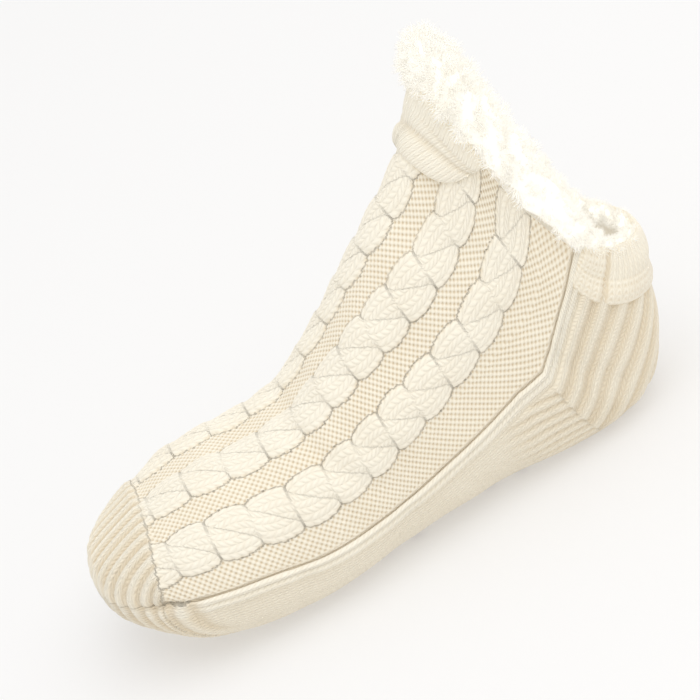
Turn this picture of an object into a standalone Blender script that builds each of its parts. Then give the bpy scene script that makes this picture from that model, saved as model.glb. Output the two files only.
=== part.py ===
"""Cable-knit slipper sock with a plush collar, modelled in metres.

The toe points towards -X and the heel towards +X, and the sole stands on Z = 0.
The sock is one hollow knitted wall, lofted through sections that stand across the foot
and then fan round the heel until the last one lies in the collar's opening.
"""
import math

import bmesh
import bpy
import numpy as np

# Driving sizes of the foot
FOOT_LENGTH = 0.250
BALL_WIDTH = 0.094
HEEL_WIDTH = 0.070
COLLAR_WIDTH = 0.048
BALL_HEIGHT = 0.066
COLLAR_HEIGHT = 0.166
HEEL_HEIGHT = 0.066
TOE_SPRING = 0.020
TOE_ROUND_LENGTH = 0.056
ARCH_RISE = 0.0022
SOLE_PRESS = 0.0018
COLLAR_SAG = 0.012
SAG_LOW_SHARE = 0.8

# Driving sizes of the knit
WALL = 0.003
GAP = 0.0003
BAND_GAP = 0.0005
CABLE_WIDTH = 0.021
CABLE_HEIGHT = 0.0028
CABLE_SPACING = 0.032
CABLES = 4
CABLE_PLACES = (np.arange(CABLES) - (CABLES - 1) / 2) * CABLE_SPACING
CABLE_LOBE = 0.0175
CABLE_START = 0.046
CABLE_STOP = 0.030
PURL_WIDTH = 0.025
PANEL_TURN = 0.021
SEAM_WIDTH = 0.005
SEAM_HEIGHT = 0.0012
CUFF_DEPTH = 0.019
CUFF_THICKNESS = 0.0038
HEM_DEPTH = 0.018
HEM_THICKNESS = 0.0042
HEM_WIDTH = 0.080
FLEECE_HEIGHT = 0.022
FLEECE_WIDTH = 0.013

# How finely the wall is cut up
ROWS_PER_LOBE = 5
TOE_ROWS = 8
TOP_ROWS = 6
SOLE_COLUMNS = 14
INNER_ROWS = 15
COLLAR_STATIONS = 84
COLLAR_POINTS = 10
BAND_STATIONS = 30
WALK_STEPS = 6
WALK_SHARES = np.linspace(0.0, 1.0, WALK_STEPS + 1)
MEASURED_STATIONS = 600
MEASURED_ANGLES = 361
SMALL_STEP = 0.004

# The line under the foot and the line over it, a row for each section from toe to collar.
# along: share of FOOT_LENGTH from the toe. spring, arch, press, heel: shares of TOE_SPRING, ARCH_RISE,
# SOLE_PRESS and HEEL_HEIGHT that lift the lower line. ball, rise: shares of BALL_HEIGHT and of what the
# collar stands above it, which lift the upper line.
LINE_COLUMNS = ("low_along", "spring", "arch", "press", "heel", "high_along", "ball", "rise")
LINE_ROWS = (
    (0.000, 1.00, 0.0, 0.0, 0.00, 0.000, 0.84, 0.00),
    (0.120, 0.30, 0.0, 0.0, 0.00, 0.120, 0.92, 0.00),
    (0.224, 0.00, 0.0, 0.6, 0.00, 0.224, 0.98, 0.00),
    (0.336, 0.00, 0.0, 1.0, 0.00, 0.336, 1.00, 0.01),
    (0.444, 0.00, 0.3, 0.0, 0.00, 0.436, 1.00, 0.12),
    (0.548, 0.00, 1.0, 0.0, 0.00, 0.526, 1.00, 0.31),
    (0.668, 0.00, 0.6, 0.0, 0.00, 0.612, 1.00, 0.52),
    (0.776, 0.00, 0.0, 1.0, 0.00, 0.686, 1.00, 0.70),
    (0.868, 0.00, 0.0, 0.6, 0.01, 0.736, 1.00, 0.81),
    (0.936, 0.00, 0.0, 0.0, 0.18, 0.771, 1.00, 0.89),
    (0.975, 0.00, 0.0, 0.0, 0.50, 0.790, 1.00, 0.945),
    (1.000, 0.00, 0.0, 0.0, 1.00, 0.804, 1.00, 1.00),
)

# The outline of each of those sections and of the cable panel on it.
# ball, heel, collar: how much of each named width the section takes. taper: how much wider it is low
# down than high up. sag: share of COLLAR_SAG that its sides swing towards the toe, more so low down.
# purl: share of PURL_WIDTH between the outer cable and the seam. turn: share of PANEL_TURN that the
# panel's middle lies off the top line, towards -Y.
SHAPE_COLUMNS = ("ball", "heel", "collar", "taper", "sag", "purl", "turn")
SHAPE_ROWS = (
    (0.92, 0.00, 0.00, 0.00, 0.0, 0.14, -0.57),
    (0.98, 0.00, 0.00, 0.00, 0.0, 0.40, -0.57),
    (1.00, 0.00, 0.00, 0.00, 0.0, 0.48, -0.38),
    (0.99, 0.00, 0.00, 0.03, 0.0, 0.54, -0.17),
    (0.75, 0.25, 0.00, 0.06, 0.0, 0.62, 0.07),
    (0.50, 0.50, 0.00, 0.10, 0.0, 0.76, 0.38),
    (0.15, 0.85, 0.00, 0.15, 0.1, 0.86, 0.74),
    (0.00, 0.85, 0.15, 0.20, 0.3, 0.96, 0.98),
    (0.00, 0.60, 0.40, 0.22, 0.5, 1.02, 0.95),
    (0.00, 0.40, 0.60, 0.22, 0.7, 0.94, 0.83),
    (0.00, 0.20, 0.80, 0.17, 0.85, 0.96, 0.69),
    (0.00, 0.00, 1.00, 0.12, 1.0, 0.94, 0.57),
)
LAST_STATION = len(LINE_ROWS) - 1.0

# Exponents of the outline below and above its widest place, and of the toe seen from above: 2 is an ellipse.
# Seen from the side the toe is blunter, by the power of its closing in TOE_SIDE_EXPONENT.
LOW_EXPONENT = 2.7
HIGH_EXPONENT = 2.3
TOE_EXPONENT = 2.2
TOE_SIDE_EXPONENT = 0.7

# The band's own outline: share of its depth below the rim, share of its thickness off the wall
BAND_OUTLINE = (
    (0.02, 0.00), (0.00, 0.55), (0.08, 0.92), (0.28, 1.00), (0.55, 0.97),
    (0.82, 0.90), (0.97, 0.60), (1.00, 0.00), (0.60, 0.00), (0.30, 0.00),
)

# Where the cuff starts and ends round the heel, and how thick and deep both bands still are at their ends
CUFF_FROM_DEGREES = 114
CUFF_TO_DEGREES = 266
CUFF_END_SHARE = 0.35
HEM_END_SHARE = 0.25
HEM_MIDDLE_SHARE = 0.25

# A rope cable: how far its strands slant, in lobes across its width, and how high its valleys stay
ROPE_SLANT_SHARE = 0.9
ROPE_VALLEY_SHARE = 0.55

# The plush round the rim: share of the way from the front over one side to the heel, share of
# FLEECE_HEIGHT, share of FLEECE_WIDTH, and how far it leans straight up
PLUSH_COLUMNS = ("way", "height", "width", "lean")
PLUSH_ROWS = (
    (0.00, 1.00, 0.95, 0.9),
    (0.20, 0.92, 1.00, 0.6),
    (0.45, 0.76, 1.00, 0.2),
    (0.62, 0.52, 0.85, 0.1),
    (0.76, 0.26, 0.60, 0.1),
    (1.00, 0.16, 0.45, 0.1),
)
PLUSH_LOCKS = 21
PLUSH_LOCK_HEIGHT = 0.0022
PLUSH_TWIST_RATIO = 2.0
PLUSH_WANDER_RADIANS = 0.8
PLUSH_WANDERS = 5

COLOURS = {
    "knit": ((0.82, 0.77, 0.65, 1.0), 0.9),
    "band": ((0.84, 0.79, 0.68, 1.0), 0.9),
    "plush": ((0.93, 0.91, 0.86, 1.0), 1.0),
}


def clear_scene():
    """Removes what a new file starts with."""
    for thing in list(bpy.data.objects):
        bpy.data.objects.remove(thing, do_unlink=True)


def read_table(rows, columns, name, station):
    """Reads one column at any station, on a smooth curve through its rows."""
    values = np.array([row[columns.index(name)] for row in rows])
    last = len(values) - 1
    station = np.clip(station, 0.0, last)
    first = np.minimum(np.floor(station).astype(int), last - 1)
    part = station - first
    before = values[np.maximum(first - 1, 0)]
    start = values[first]
    end = values[first + 1]
    after = values[np.minimum(first + 2, last)]
    return 0.5 * (
        2 * start
        + (end - before) * part
        + (2 * before - 5 * start + 4 * end - after) * part**2
        + (3 * start - before - 3 * end + after) * part**3
    )


def line(name, station):
    return read_table(LINE_ROWS, LINE_COLUMNS, name, station)


def shape(name, station):
    return read_table(SHAPE_ROWS, SHAPE_COLUMNS, name, station)


def toe_closing(station):
    """Share of the full section that is left where the toe rounds off."""
    left = 1.0 - np.clip(line("low_along", station) * FOOT_LENGTH / TOE_ROUND_LENGTH, 0.0, 1.0)
    return (1.0 - left**TOE_EXPONENT) ** (1.0 / TOE_EXPONENT)


def outline(station, angle, closing=1.0):
    """Point of the plain outer skin. The angle is 0 on the top line and grows towards -Y."""
    low_x = (line("low_along", station) - 0.5) * FOOT_LENGTH
    low_z = (
        line("spring", station) * TOE_SPRING
        + line("arch", station) * ARCH_RISE
        - line("press", station) * SOLE_PRESS
        + line("heel", station) * HEEL_HEIGHT
    )
    high_x = (line("high_along", station) - 0.5) * FOOT_LENGTH
    high_z = line("ball", station) * BALL_HEIGHT + line("rise", station) * (COLLAR_HEIGHT - BALL_HEIGHT)
    width = (
        shape("ball", station) * BALL_WIDTH
        + shape("heel", station) * HEEL_WIDTH
        + shape("collar", station) * COLLAR_WIDTH
    )
    up = np.cos(angle)
    out = np.sin(angle)
    power = 2.0 / np.where(up > 0, HIGH_EXPONENT, LOW_EXPONENT)
    height = np.sign(up) * np.abs(up) ** power
    side = np.sign(out) * np.abs(out) ** power
    share = 0.5 + 0.5 * height * closing**TOE_SIDE_EXPONENT
    y = -0.5 * width * side * closing * (1.0 - shape("taper", station) * height)
    length = np.hypot(high_x - low_x, high_z - low_z)
    sag = shape("sag", station) * COLLAR_SAG * out**2 * (1.0 - SAG_LOW_SHARE * up) / length
    x = low_x + (high_x - low_x) * share - (high_z - low_z) * sag
    z = low_z + (high_z - low_z) * share + (high_x - low_x) * sag
    return np.stack([x, y, np.maximum(z, 0.0)], axis=-1)


def skin(station, angle):
    """Point of the plain outer skin with the toe rounded off."""
    return outline(station, angle, toe_closing(station))


def outward(station, angle):
    """Direction out of the skin, from two short steps on it."""
    station = np.clip(station, 2 * SMALL_STEP, LAST_STATION - SMALL_STEP)
    along = skin(station + SMALL_STEP, angle) - skin(station - SMALL_STEP, angle)
    around = skin(station, angle + SMALL_STEP) - skin(station, angle - SMALL_STEP)
    normal = np.cross(around, along)
    return normal / np.linalg.norm(normal, axis=-1, keepdims=True)


def lifted(station, angle, lift):
    """Point that stands off the plain skin by lift."""
    return skin(station, angle) + outward(station, angle) * np.asarray(lift)[..., None]


def angle_at(station, across):
    """Angle of points that lie across metres from the top line, measured along the section."""
    angles = np.linspace(-math.pi, math.pi, MEASURED_ANGLES)
    points = outline(np.full(angles.shape, station), angles)
    steps = np.linalg.norm(np.diff(points, axis=0), axis=1)
    reach = np.concatenate([[0.0], np.cumsum(steps)])
    reach -= np.interp(0.0, angles, reach)
    return np.interp(across, reach, angles), reach[-1]


def panel_half(station):
    """Distance from the panel's middle to its seam."""
    return CABLE_PLACES[-1] + CABLE_WIDTH / 2 + shape("purl", station) * PURL_WIDTH


def columns_at(station):
    """Places across the section, from the panel's middle round one side and back, with their relief."""
    half = panel_half(station)
    quarters = np.linspace(-0.5, 0.5, 5) * CABLE_WIDTH
    cables = np.concatenate([quarters + middle for middle in CABLE_PLACES])
    outer_edge = CABLE_PLACES[-1] + CABLE_WIDTH / 2
    grounds = CABLE_PLACES[1:] - CABLE_SPACING / 2
    sides = np.array([-0.5, 0.5]) * (half + outer_edge - SEAM_WIDTH / 2)
    seams = np.concatenate([sign * half + np.array([-0.5, 0.0, 0.5]) * SEAM_WIDTH for sign in (-1, 1)])
    panel = np.sort(np.concatenate([cables, grounds, sides, seams]))
    _, reach = angle_at(station, 0.0)
    sole_edge = half + SEAM_WIDTH / 2
    sole = np.linspace(sole_edge, 2 * reach - sole_edge, SOLE_COLUMNS + 1)[1:-1]
    return np.concatenate([panel, sole])


def wrapped(across, reach):
    """Folds a place past the bottom line over to the other side."""
    return (across + reach) % (2 * reach) - reach


def rope(across, course):
    """Height of a two-strand rope cable, 0 to 1, from the place across it and along it."""
    place = np.abs(across) / (CABLE_WIDTH / 2)
    dome = np.sqrt(np.clip(1.0 - place**2, 0.0, 1.0))
    slant = across / CABLE_WIDTH * ROPE_SLANT_SHARE
    strand = 0.5 + 0.5 * np.cos(2 * math.pi * (course / CABLE_LOBE - slant))
    return dome * (ROPE_VALLEY_SHARE + (1.0 - ROPE_VALLEY_SHARE) * strand)


def panel_courses(stations):
    """Length of knit from the toe to each station, along the panel's middle."""
    turns = shape("turn", stations) * PANEL_TURN
    angles = np.array([angle_at(station, turn)[0] for station, turn in zip(stations, turns)])
    steps = np.linalg.norm(np.diff(skin(stations, angles), axis=0), axis=1)
    return np.concatenate([[0.0], np.cumsum(steps)])


def relief(across, half, course, courses):
    """Height of cables and seams above the plain skin."""
    into = np.clip((course - CABLE_START) / CABLE_LOBE + 0.5, 0.0, 1.0)
    out_of = np.clip((courses - CABLE_STOP - course) / CABLE_LOBE, 0.0, 1.0)
    cables = sum(rope(across - middle, course) for middle in CABLE_PLACES)
    seam = np.clip(1.0 - np.abs(np.abs(across) - half) / (SEAM_WIDTH / 2), 0.0, 1.0)
    return min(into, out_of) * (CABLE_HEIGHT * cables + SEAM_HEIGHT * seam)


def body_stations():
    """Stations of the outer rings: close together at the toe's end, and even along the cables."""
    fine = np.linspace(0.0, LAST_STATION, MEASURED_STATIONS)
    courses = panel_courses(fine)
    quarter_turns = np.linspace(0.0, math.pi / 2, TOE_ROWS + 1)[1:]
    toe_along = TOE_ROUND_LENGTH * (1.0 - np.cos(quarter_turns))
    toe = np.interp(toe_along, line("low_along", fine) * FOOT_LENGTH, fine)
    toe_end = np.interp(toe[-1], fine, courses)
    cable_end = courses[-1] - CABLE_STOP
    rows = max(ROWS_PER_LOBE, round((cable_end - toe_end) / CABLE_LOBE * ROWS_PER_LOBE))
    along_cables = np.linspace(toe_end, cable_end, rows + 1)[1:]
    top = np.linspace(cable_end, courses[-1], TOP_ROWS + 1)[1:]
    knit = np.interp(np.concatenate([along_cables, top]), courses, fine)
    stations = np.concatenate([toe, knit])
    return stations, np.interp(stations, fine, courses), courses[-1]


def ring_angles(station):
    """Angles of one ring's points, and their places across from the panel's middle."""
    turn = shape("turn", station) * PANEL_TURN
    places = columns_at(station)
    _, reach = angle_at(station, 0.0)
    across = wrapped(places + turn, reach)
    angles, _ = angle_at(station, across)
    return angles, wrapped(places, reach)


def body_rings():
    """Rings of the outer skin from toe to collar, then of the inner skin back to the toe."""
    stations, courses, last_course = body_stations()
    rings = [skin(np.array([0.0]), np.array([0.0]))]
    for station, course in zip(stations, courses):
        angles, places = ring_angles(station)
        height = relief(places, panel_half(station), course, last_course)
        rings.append(lifted(np.full(angles.shape, station), angles, height))
    inner = np.interp(np.linspace(1.0, 0.0, INNER_ROWS), np.linspace(0.0, 1.0, len(stations)), stations)
    for station in inner:
        angles, _ = ring_angles(station)
        rings.append(lifted(np.full(angles.shape, station), angles, np.full(angles.shape, -WALL)))
    rings.append(rings[0] + np.array([WALL, 0.0, 0.0]))
    return rings


def slopes(station, angle):
    """How far the skin moves for a unit of station and for a unit of angle."""
    along = (skin(station, angle) - skin(station - SMALL_STEP, angle)) / SMALL_STEP
    around = (skin(station, angle + SMALL_STEP) - skin(station, angle - SMALL_STEP)) / (2 * SMALL_STEP)
    return along, around


def out_of_rim(angle):
    """Direction out of the opening at a place on the rim, square to the rim and along the skin."""
    along, around = slopes(LAST_STATION, angle)
    across = np.cross(outward(LAST_STATION, angle), around)
    across *= np.sign(across @ along)
    return across / np.linalg.norm(across)


def walk_down(angle, depth):
    """Stations and angles of evenly spaced places from the rim down the skin, square to the rim."""
    down = -out_of_rim(angle) * depth / WALK_STEPS
    places = [(LAST_STATION, angle)]
    for _ in range(WALK_STEPS):
        station, turned = places[-1]
        steps = np.stack(slopes(station, turned), axis=-1)
        moved = np.linalg.lstsq(steps, down, rcond=None)[0]
        places.append((station + moved[0], turned + moved[1]))
    return np.array(places)


def band_rings(angles, depth, thickness, end_share, middle_extra=0.0):
    """Closed outlines of a band that lies on the skin just below the rim, thin at both ends."""
    rings = []
    for angle, end in zip(angles, np.linspace(-1.0, 1.0, len(angles))):
        full = (1.0 - end**6) ** 0.5 * (1.0 - end_share) + end_share
        deeper = 1.0 + middle_extra * (1.0 - end**2) ** 3
        places = walk_down(angle, depth * full * deeper)
        shares = np.array([down for down, _ in BAND_OUTLINE])
        lifts = BAND_GAP + np.array([off for _, off in BAND_OUTLINE]) * thickness * full
        stations = np.interp(shares, WALK_SHARES, places[:, 0])
        angles_down = np.interp(shares, WALK_SHARES, places[:, 1])
        rings.append(lifted(stations, angles_down, lifts))
    first = rings[0].mean(axis=0, keepdims=True)
    last = rings[-1].mean(axis=0, keepdims=True)
    return [first] + rings + [last]


def hem_angles():
    """Angles across the front of the collar, over HEM_WIDTH."""
    angles, _ = angle_at(LAST_STATION, np.linspace(-HEM_WIDTH / 2, HEM_WIDTH / 2, BAND_STATIONS))
    return angles


def cuff_angles():
    """Angles round the heel side of the collar."""
    ends = math.radians(CUFF_FROM_DEGREES), math.radians(CUFF_TO_DEGREES)
    return np.linspace(*ends, BAND_STATIONS)


def plush_rings():
    """Cross-sections of the plush ring, one for each place round the rim."""
    angles = np.linspace(-math.pi, math.pi, COLLAR_STATIONS, endpoint=False)
    turns = np.linspace(0.0, 2 * math.pi, COLLAR_POINTS, endpoint=False)
    ways = [row[0] for row in PLUSH_ROWS]
    rings = []
    for index, angle in enumerate(angles):
        place = np.interp(abs(angle) / math.pi, ways, range(len(ways)))
        height = read_table(PLUSH_ROWS, PLUSH_COLUMNS, "height", place) * FLEECE_HEIGHT
        width = read_table(PLUSH_ROWS, PLUSH_COLUMNS, "width", place) * FLEECE_WIDTH
        lean = read_table(PLUSH_ROWS, PLUSH_COLUMNS, "lean", place)
        rim = lifted(LAST_STATION, angle, -WALL / 2)
        out = outward(LAST_STATION, angle)
        up = out_of_rim(angle)
        straight = up + np.array([0.0, 0.0, lean])
        straight /= np.linalg.norm(straight)
        wander = PLUSH_WANDER_RADIANS * math.sin(PLUSH_WANDERS * angle)
        locks = np.cos(PLUSH_LOCKS * angle + PLUSH_TWIST_RATIO * turns + wander)
        lump = PLUSH_LOCK_HEIGHT * (0.5 + 0.5 * locks) * np.clip(0.5 + np.sin(turns), 0.0, 1.0)
        rise = GAP + height / 2 + (height / 2 + lump) * np.sin(turns)
        spread = (width / 2 + lump) * np.cos(turns)
        foot = rim + up * GAP
        rings.append(foot + straight * rise[:, None] + out * spread[:, None])
    return rings


def material(name):
    """Plain soft material of the named colour."""
    colour, roughness = COLOURS[name]
    made = bpy.data.materials.new(name)
    made.use_nodes = True
    shader = made.node_tree.nodes["Principled BSDF"]
    shader.inputs["Base Color"].default_value = colour
    shader.inputs["Roughness"].default_value = roughness
    shader.inputs["Metallic"].default_value = 0.0
    return made


def loft(name, rings, look, collection, closed=False):
    """Object skinned over rings of points. A ring of one point closes an end, and closed joins the ends."""
    build = bmesh.new()
    placed = [[build.verts.new(point) for point in ring] for ring in rings]
    pairs = list(zip(placed, placed[1:]))
    if closed:
        pairs.append((placed[-1], placed[0]))
    for lower, upper in pairs:
        count = max(len(lower), len(upper))
        for index in range(count):
            corners = [
                lower[index % len(lower)],
                lower[(index + 1) % len(lower)],
                upper[(index + 1) % len(upper)],
                upper[index % len(upper)],
            ]
            build.faces.new(list(dict.fromkeys(corners)))
    bmesh.ops.recalc_face_normals(build, faces=build.faces)
    mesh = bpy.data.meshes.new(name)
    build.to_mesh(mesh)
    build.free()
    mesh.shade_smooth()
    mesh.materials.append(look)
    made = bpy.data.objects.new(name, mesh)
    collection.objects.link(made)
    return made


def centre(objects):
    """Moves the pieces together so that their common box is centred over the origin."""
    corners = np.array([vertex.co for made in objects for vertex in made.data.vertices])
    middle = (corners.min(axis=0) + corners.max(axis=0)) / 2
    for made in objects:
        for vertex in made.data.vertices:
            vertex.co.x -= middle[0]
            vertex.co.y -= middle[1]


def main():
    clear_scene()
    sock = bpy.data.collections.new("slipper_sock")
    bpy.context.scene.collection.children.link(sock)
    knit = material("knit")
    band = material("band")
    plush = material("plush")
    cuff = band_rings(cuff_angles(), CUFF_DEPTH, CUFF_THICKNESS, CUFF_END_SHARE)
    hem = band_rings(hem_angles(), HEM_DEPTH, HEM_THICKNESS, HEM_END_SHARE, HEM_MIDDLE_SHARE)
    pieces = [
        loft("knit_body", body_rings(), knit, sock),
        loft("heel_cuff", cuff, band, sock),
        loft("front_hem", hem, band, sock),
        loft("fleece_collar", plush_rings(), plush, sock, closed=True),
    ]
    centre(pieces)


main()
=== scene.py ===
# %% [markdown]
# # A cable-knit slipper sock, dressed
#
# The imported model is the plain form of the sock: a knitted wall, a cuff, a hem and a ring of plush.
# This lesson dresses it in real yarn: cables, purl ground, ribs, a sewn seam, plush locks and grip dots.
# The sock stands on its sole with the toe towards -X. The side towards -Y is the one the camera sees.
# Each cell makes one piece and prints what it made.

# %% Load the fixed frame
import math

import bmesh
import bpy
import numpy as np
from mathutils import Matrix, Vector


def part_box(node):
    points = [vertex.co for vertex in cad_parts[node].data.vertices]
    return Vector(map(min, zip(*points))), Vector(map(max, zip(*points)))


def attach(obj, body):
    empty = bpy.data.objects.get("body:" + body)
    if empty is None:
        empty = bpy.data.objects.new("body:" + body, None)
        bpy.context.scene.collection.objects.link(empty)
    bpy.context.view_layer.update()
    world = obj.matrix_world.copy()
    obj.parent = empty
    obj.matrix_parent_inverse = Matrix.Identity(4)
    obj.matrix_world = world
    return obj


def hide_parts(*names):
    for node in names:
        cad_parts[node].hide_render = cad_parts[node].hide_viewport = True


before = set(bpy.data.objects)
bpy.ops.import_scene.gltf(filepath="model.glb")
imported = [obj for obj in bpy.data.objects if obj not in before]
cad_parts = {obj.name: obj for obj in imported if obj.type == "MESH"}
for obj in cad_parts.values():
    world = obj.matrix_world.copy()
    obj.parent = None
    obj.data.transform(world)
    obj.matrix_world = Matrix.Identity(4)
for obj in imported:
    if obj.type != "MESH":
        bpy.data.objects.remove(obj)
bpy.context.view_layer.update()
random = np.random.default_rng(27)

# %% [markdown]
# ## Camera, floor and light
#
# The sock is photographed from its side and a little above, with the heel end raised in the picture.
# A long lens keeps the lines nearly parallel. A sock can't hover on its toe, so the camera is rolled
# instead: its right and up directions are turned about the line of sight.
# A studio's white sweep is one pale floor, lit by a wide soft light above and a bright world.

# %% Aim the camera
VIEW_HEIGHT_DEGREES = 32.0
VIEW_ROLL_DEGREES = 28.0
VIEW_DISTANCE = 1.52
VIEW_LENS = 200.0
VIEW_TARGET = Vector((0.004, 0.0, 0.078))


def add_object(name, data):
    """Puts a new object with the given data in the scene."""
    made = bpy.data.objects.new(name, data)
    bpy.context.scene.collection.objects.link(made)
    return made


def aim_camera():
    """Adds the camera and returns it."""
    height = math.radians(VIEW_HEIGHT_DEGREES)
    roll = math.radians(VIEW_ROLL_DEGREES)
    level_right = Vector((1.0, 0.0, 0.0))
    level_up = Vector((0.0, math.sin(height), math.cos(height)))
    right = math.cos(roll) * level_right - math.sin(roll) * level_up
    up = math.sin(roll) * level_right + math.cos(roll) * level_up
    back = right.cross(up)
    camera_data = bpy.data.cameras.new("camera")
    camera_data.lens = VIEW_LENS
    camera = add_object("camera", camera_data)
    turn = Matrix((right, up, back)).transposed()
    camera.matrix_world = Matrix.Translation(VIEW_TARGET + back * VIEW_DISTANCE) @ turn.to_4x4()
    bpy.context.scene.camera = camera
    return camera


print("camera at", [round(value, 2) for value in aim_camera().matrix_world.translation])

# %% Lay the floor
FLOOR_HALF = 4.0
FLOOR_FINISH = {
    "Base Color": (0.52, 0.515, 0.51, 1.0),
    "Emission Color": (1.0, 0.995, 0.99, 1.0),
    "Emission Strength": 0.36,
    "Roughness": 0.9,
}


def mesh_of(name, build):
    """Turns a finished bmesh into a mesh."""
    mesh = bpy.data.meshes.new(name)
    build.to_mesh(mesh)
    build.free()
    return mesh


def new_finish(name, values):
    """Adds a material. Gives it, its node tree and its shader, with the shader's plain values set."""
    made = bpy.data.materials.new(name)
    made.use_nodes = True
    shader = made.node_tree.nodes["Principled BSDF"]
    for title, value in values.items():
        shader.inputs[title].default_value = value
    return made, made.node_tree, shader


def lay_floor():
    """Adds a wide pale floor that isn't part of the sock."""
    build = bmesh.new()
    bmesh.ops.create_grid(build, x_segments=1, y_segments=1, size=FLOOR_HALF)
    floor = add_object("floor", mesh_of("floor", build))
    floor.data.materials.append(new_finish("floor_paper", FLOOR_FINISH)[0])
    return floor


print("floor is", 2 * FLOOR_HALF, "m wide:", lay_floor().name)

# %% Light the sweep
KEY_PLACE = (0.5, -0.6, 1.9)
KEY_TARGET = (0.0, 0.0, 0.05)
KEY_SIZE = 2.0
KEY_POWER = 17.0
WORLD_COLOUR = (1.0, 1.0, 1.0, 1.0)
WORLD_STRENGTH = 0.88


def soft_light(name, place, target, size, power):
    """Adds a square soft light at a place, turned towards a target."""
    data = bpy.data.lights.new(name, "AREA")
    data.size = size
    data.energy = power
    light = add_object(name, data)
    light.location = place
    light.rotation_euler = (Vector(target) - Vector(place)).to_track_quat("-Z", "Y").to_euler()
    return light


def light_world(colour, strength):
    """Fills the world with one plain colour."""
    world = bpy.data.worlds.new("studio")
    world.use_nodes = True
    background = world.node_tree.nodes["Background"]
    background.inputs["Color"].default_value = colour
    background.inputs["Strength"].default_value = strength
    bpy.context.scene.world = world
    return world


soft_light("key", KEY_PLACE, KEY_TARGET, KEY_SIZE, KEY_POWER)
light_world(WORLD_COLOUR, WORLD_STRENGTH)
bpy.context.scene.view_settings.view_transform = "Standard"
print("lights:", [thing.name for thing in bpy.data.lights])

# %% [markdown]
# ## The form under the yarn
#
# A knitted tube has no flat faces, so every stitch has to know where it lies on a curved skin.
# The sock's skin is a row of sections from the toe to the collar, which fan out round the heel.
# The same named sizes and tables as in the plain model give any point of it from two numbers: the
# station along the foot and the angle round it. One could project stitches onto the finished mesh
# instead, but a formula stays smooth at any fineness and keeps rows and wales in line.

# %% Sizes of the form
FOOT_LENGTH = 0.250
BALL_WIDTH = 0.094
HEEL_WIDTH = 0.070
COLLAR_WIDTH = 0.048
BALL_HEIGHT = 0.066
COLLAR_HEIGHT = 0.166
HEEL_HEIGHT = 0.066
TOE_SPRING = 0.020
TOE_ROUND_LENGTH = 0.056
ARCH_RISE = 0.0022
SOLE_PRESS = 0.0018
COLLAR_SAG = 0.012
SAG_LOW_SHARE = 0.8
WALL = 0.003
LOW_EXPONENT = 2.7
HIGH_EXPONENT = 2.3
TOE_EXPONENT = 2.2
TOE_SIDE_EXPONENT = 0.7

# %% Lines under and over the foot, from toe to collar
LINE_COLUMNS = ("low_along", "spring", "arch", "press", "heel", "high_along", "ball", "rise")
LINE_ROWS = (
    (0.000, 1.00, 0.0, 0.0, 0.00, 0.000, 0.84, 0.00),
    (0.120, 0.30, 0.0, 0.0, 0.00, 0.120, 0.92, 0.00),
    (0.224, 0.00, 0.0, 0.6, 0.00, 0.224, 0.98, 0.00),
    (0.336, 0.00, 0.0, 1.0, 0.00, 0.336, 1.00, 0.01),
    (0.444, 0.00, 0.3, 0.0, 0.00, 0.436, 1.00, 0.12),
    (0.548, 0.00, 1.0, 0.0, 0.00, 0.526, 1.00, 0.31),
    (0.668, 0.00, 0.6, 0.0, 0.00, 0.612, 1.00, 0.52),
    (0.776, 0.00, 0.0, 1.0, 0.00, 0.686, 1.00, 0.70),
    (0.868, 0.00, 0.0, 0.6, 0.01, 0.736, 1.00, 0.81),
    (0.936, 0.00, 0.0, 0.0, 0.18, 0.771, 1.00, 0.89),
    (0.975, 0.00, 0.0, 0.0, 0.50, 0.790, 1.00, 0.945),
    (1.000, 0.00, 0.0, 0.0, 1.00, 0.804, 1.00, 1.00),
)
SHAPE_COLUMNS = ("ball", "heel", "collar", "taper", "sag", "purl", "turn")
SHAPE_ROWS = (
    (0.92, 0.00, 0.00, 0.00, 0.0, 0.14, -0.57),
    (0.98, 0.00, 0.00, 0.00, 0.0, 0.40, -0.57),
    (1.00, 0.00, 0.00, 0.00, 0.0, 0.48, -0.38),
    (0.99, 0.00, 0.00, 0.03, 0.0, 0.54, -0.17),
    (0.75, 0.25, 0.00, 0.06, 0.0, 0.62, 0.07),
    (0.50, 0.50, 0.00, 0.10, 0.0, 0.76, 0.38),
    (0.15, 0.85, 0.00, 0.15, 0.1, 0.86, 0.74),
    (0.00, 0.85, 0.15, 0.20, 0.3, 0.96, 0.98),
    (0.00, 0.60, 0.40, 0.22, 0.5, 1.02, 0.95),
    (0.00, 0.40, 0.60, 0.22, 0.7, 0.94, 0.83),
    (0.00, 0.20, 0.80, 0.17, 0.85, 0.96, 0.69),
    (0.00, 0.00, 1.00, 0.12, 1.0, 0.94, 0.57),
)
LAST_STATION = len(LINE_ROWS) - 1.0
TOE_X = -FOOT_LENGTH / 2
SHIFT = np.array([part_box("knit_body")[0][0] - TOE_X, 0.0, 0.0])
print("sections:", len(LINE_ROWS), "shift along x:", round(1000 * SHIFT[0], 2), "mm")

# %% Any point of the skin
SKIN_STEP = 0.004


def split_place(place, count):
    """Whole place in a row of count values, at most the last but one, and the share past it."""
    first = np.minimum(np.floor(place).astype(int), count - 2)
    return first, place - first


def curve_between(before, start, end, after, part):
    """Smooth curve from start to end that also heeds the values before and after them."""
    bend = (2 * before - 5 * start + 4 * end - after) * part**2
    twist = (3 * start - before - 3 * end + after) * part**3
    return 0.5 * (2 * start + (end - before) * part + (bend + twist))


def read_table(rows, columns, name, station):
    """Reads one column at any station, on a smooth curve through its rows."""
    values = np.array([row[columns.index(name)] for row in rows])
    last = len(values) - 1
    first, part = split_place(np.clip(station, 0.0, last), len(values))
    before = values[np.maximum(first - 1, 0)]
    after = values[np.minimum(first + 2, last)]
    return curve_between(before, values[first], values[first + 1], after, part)


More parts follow.
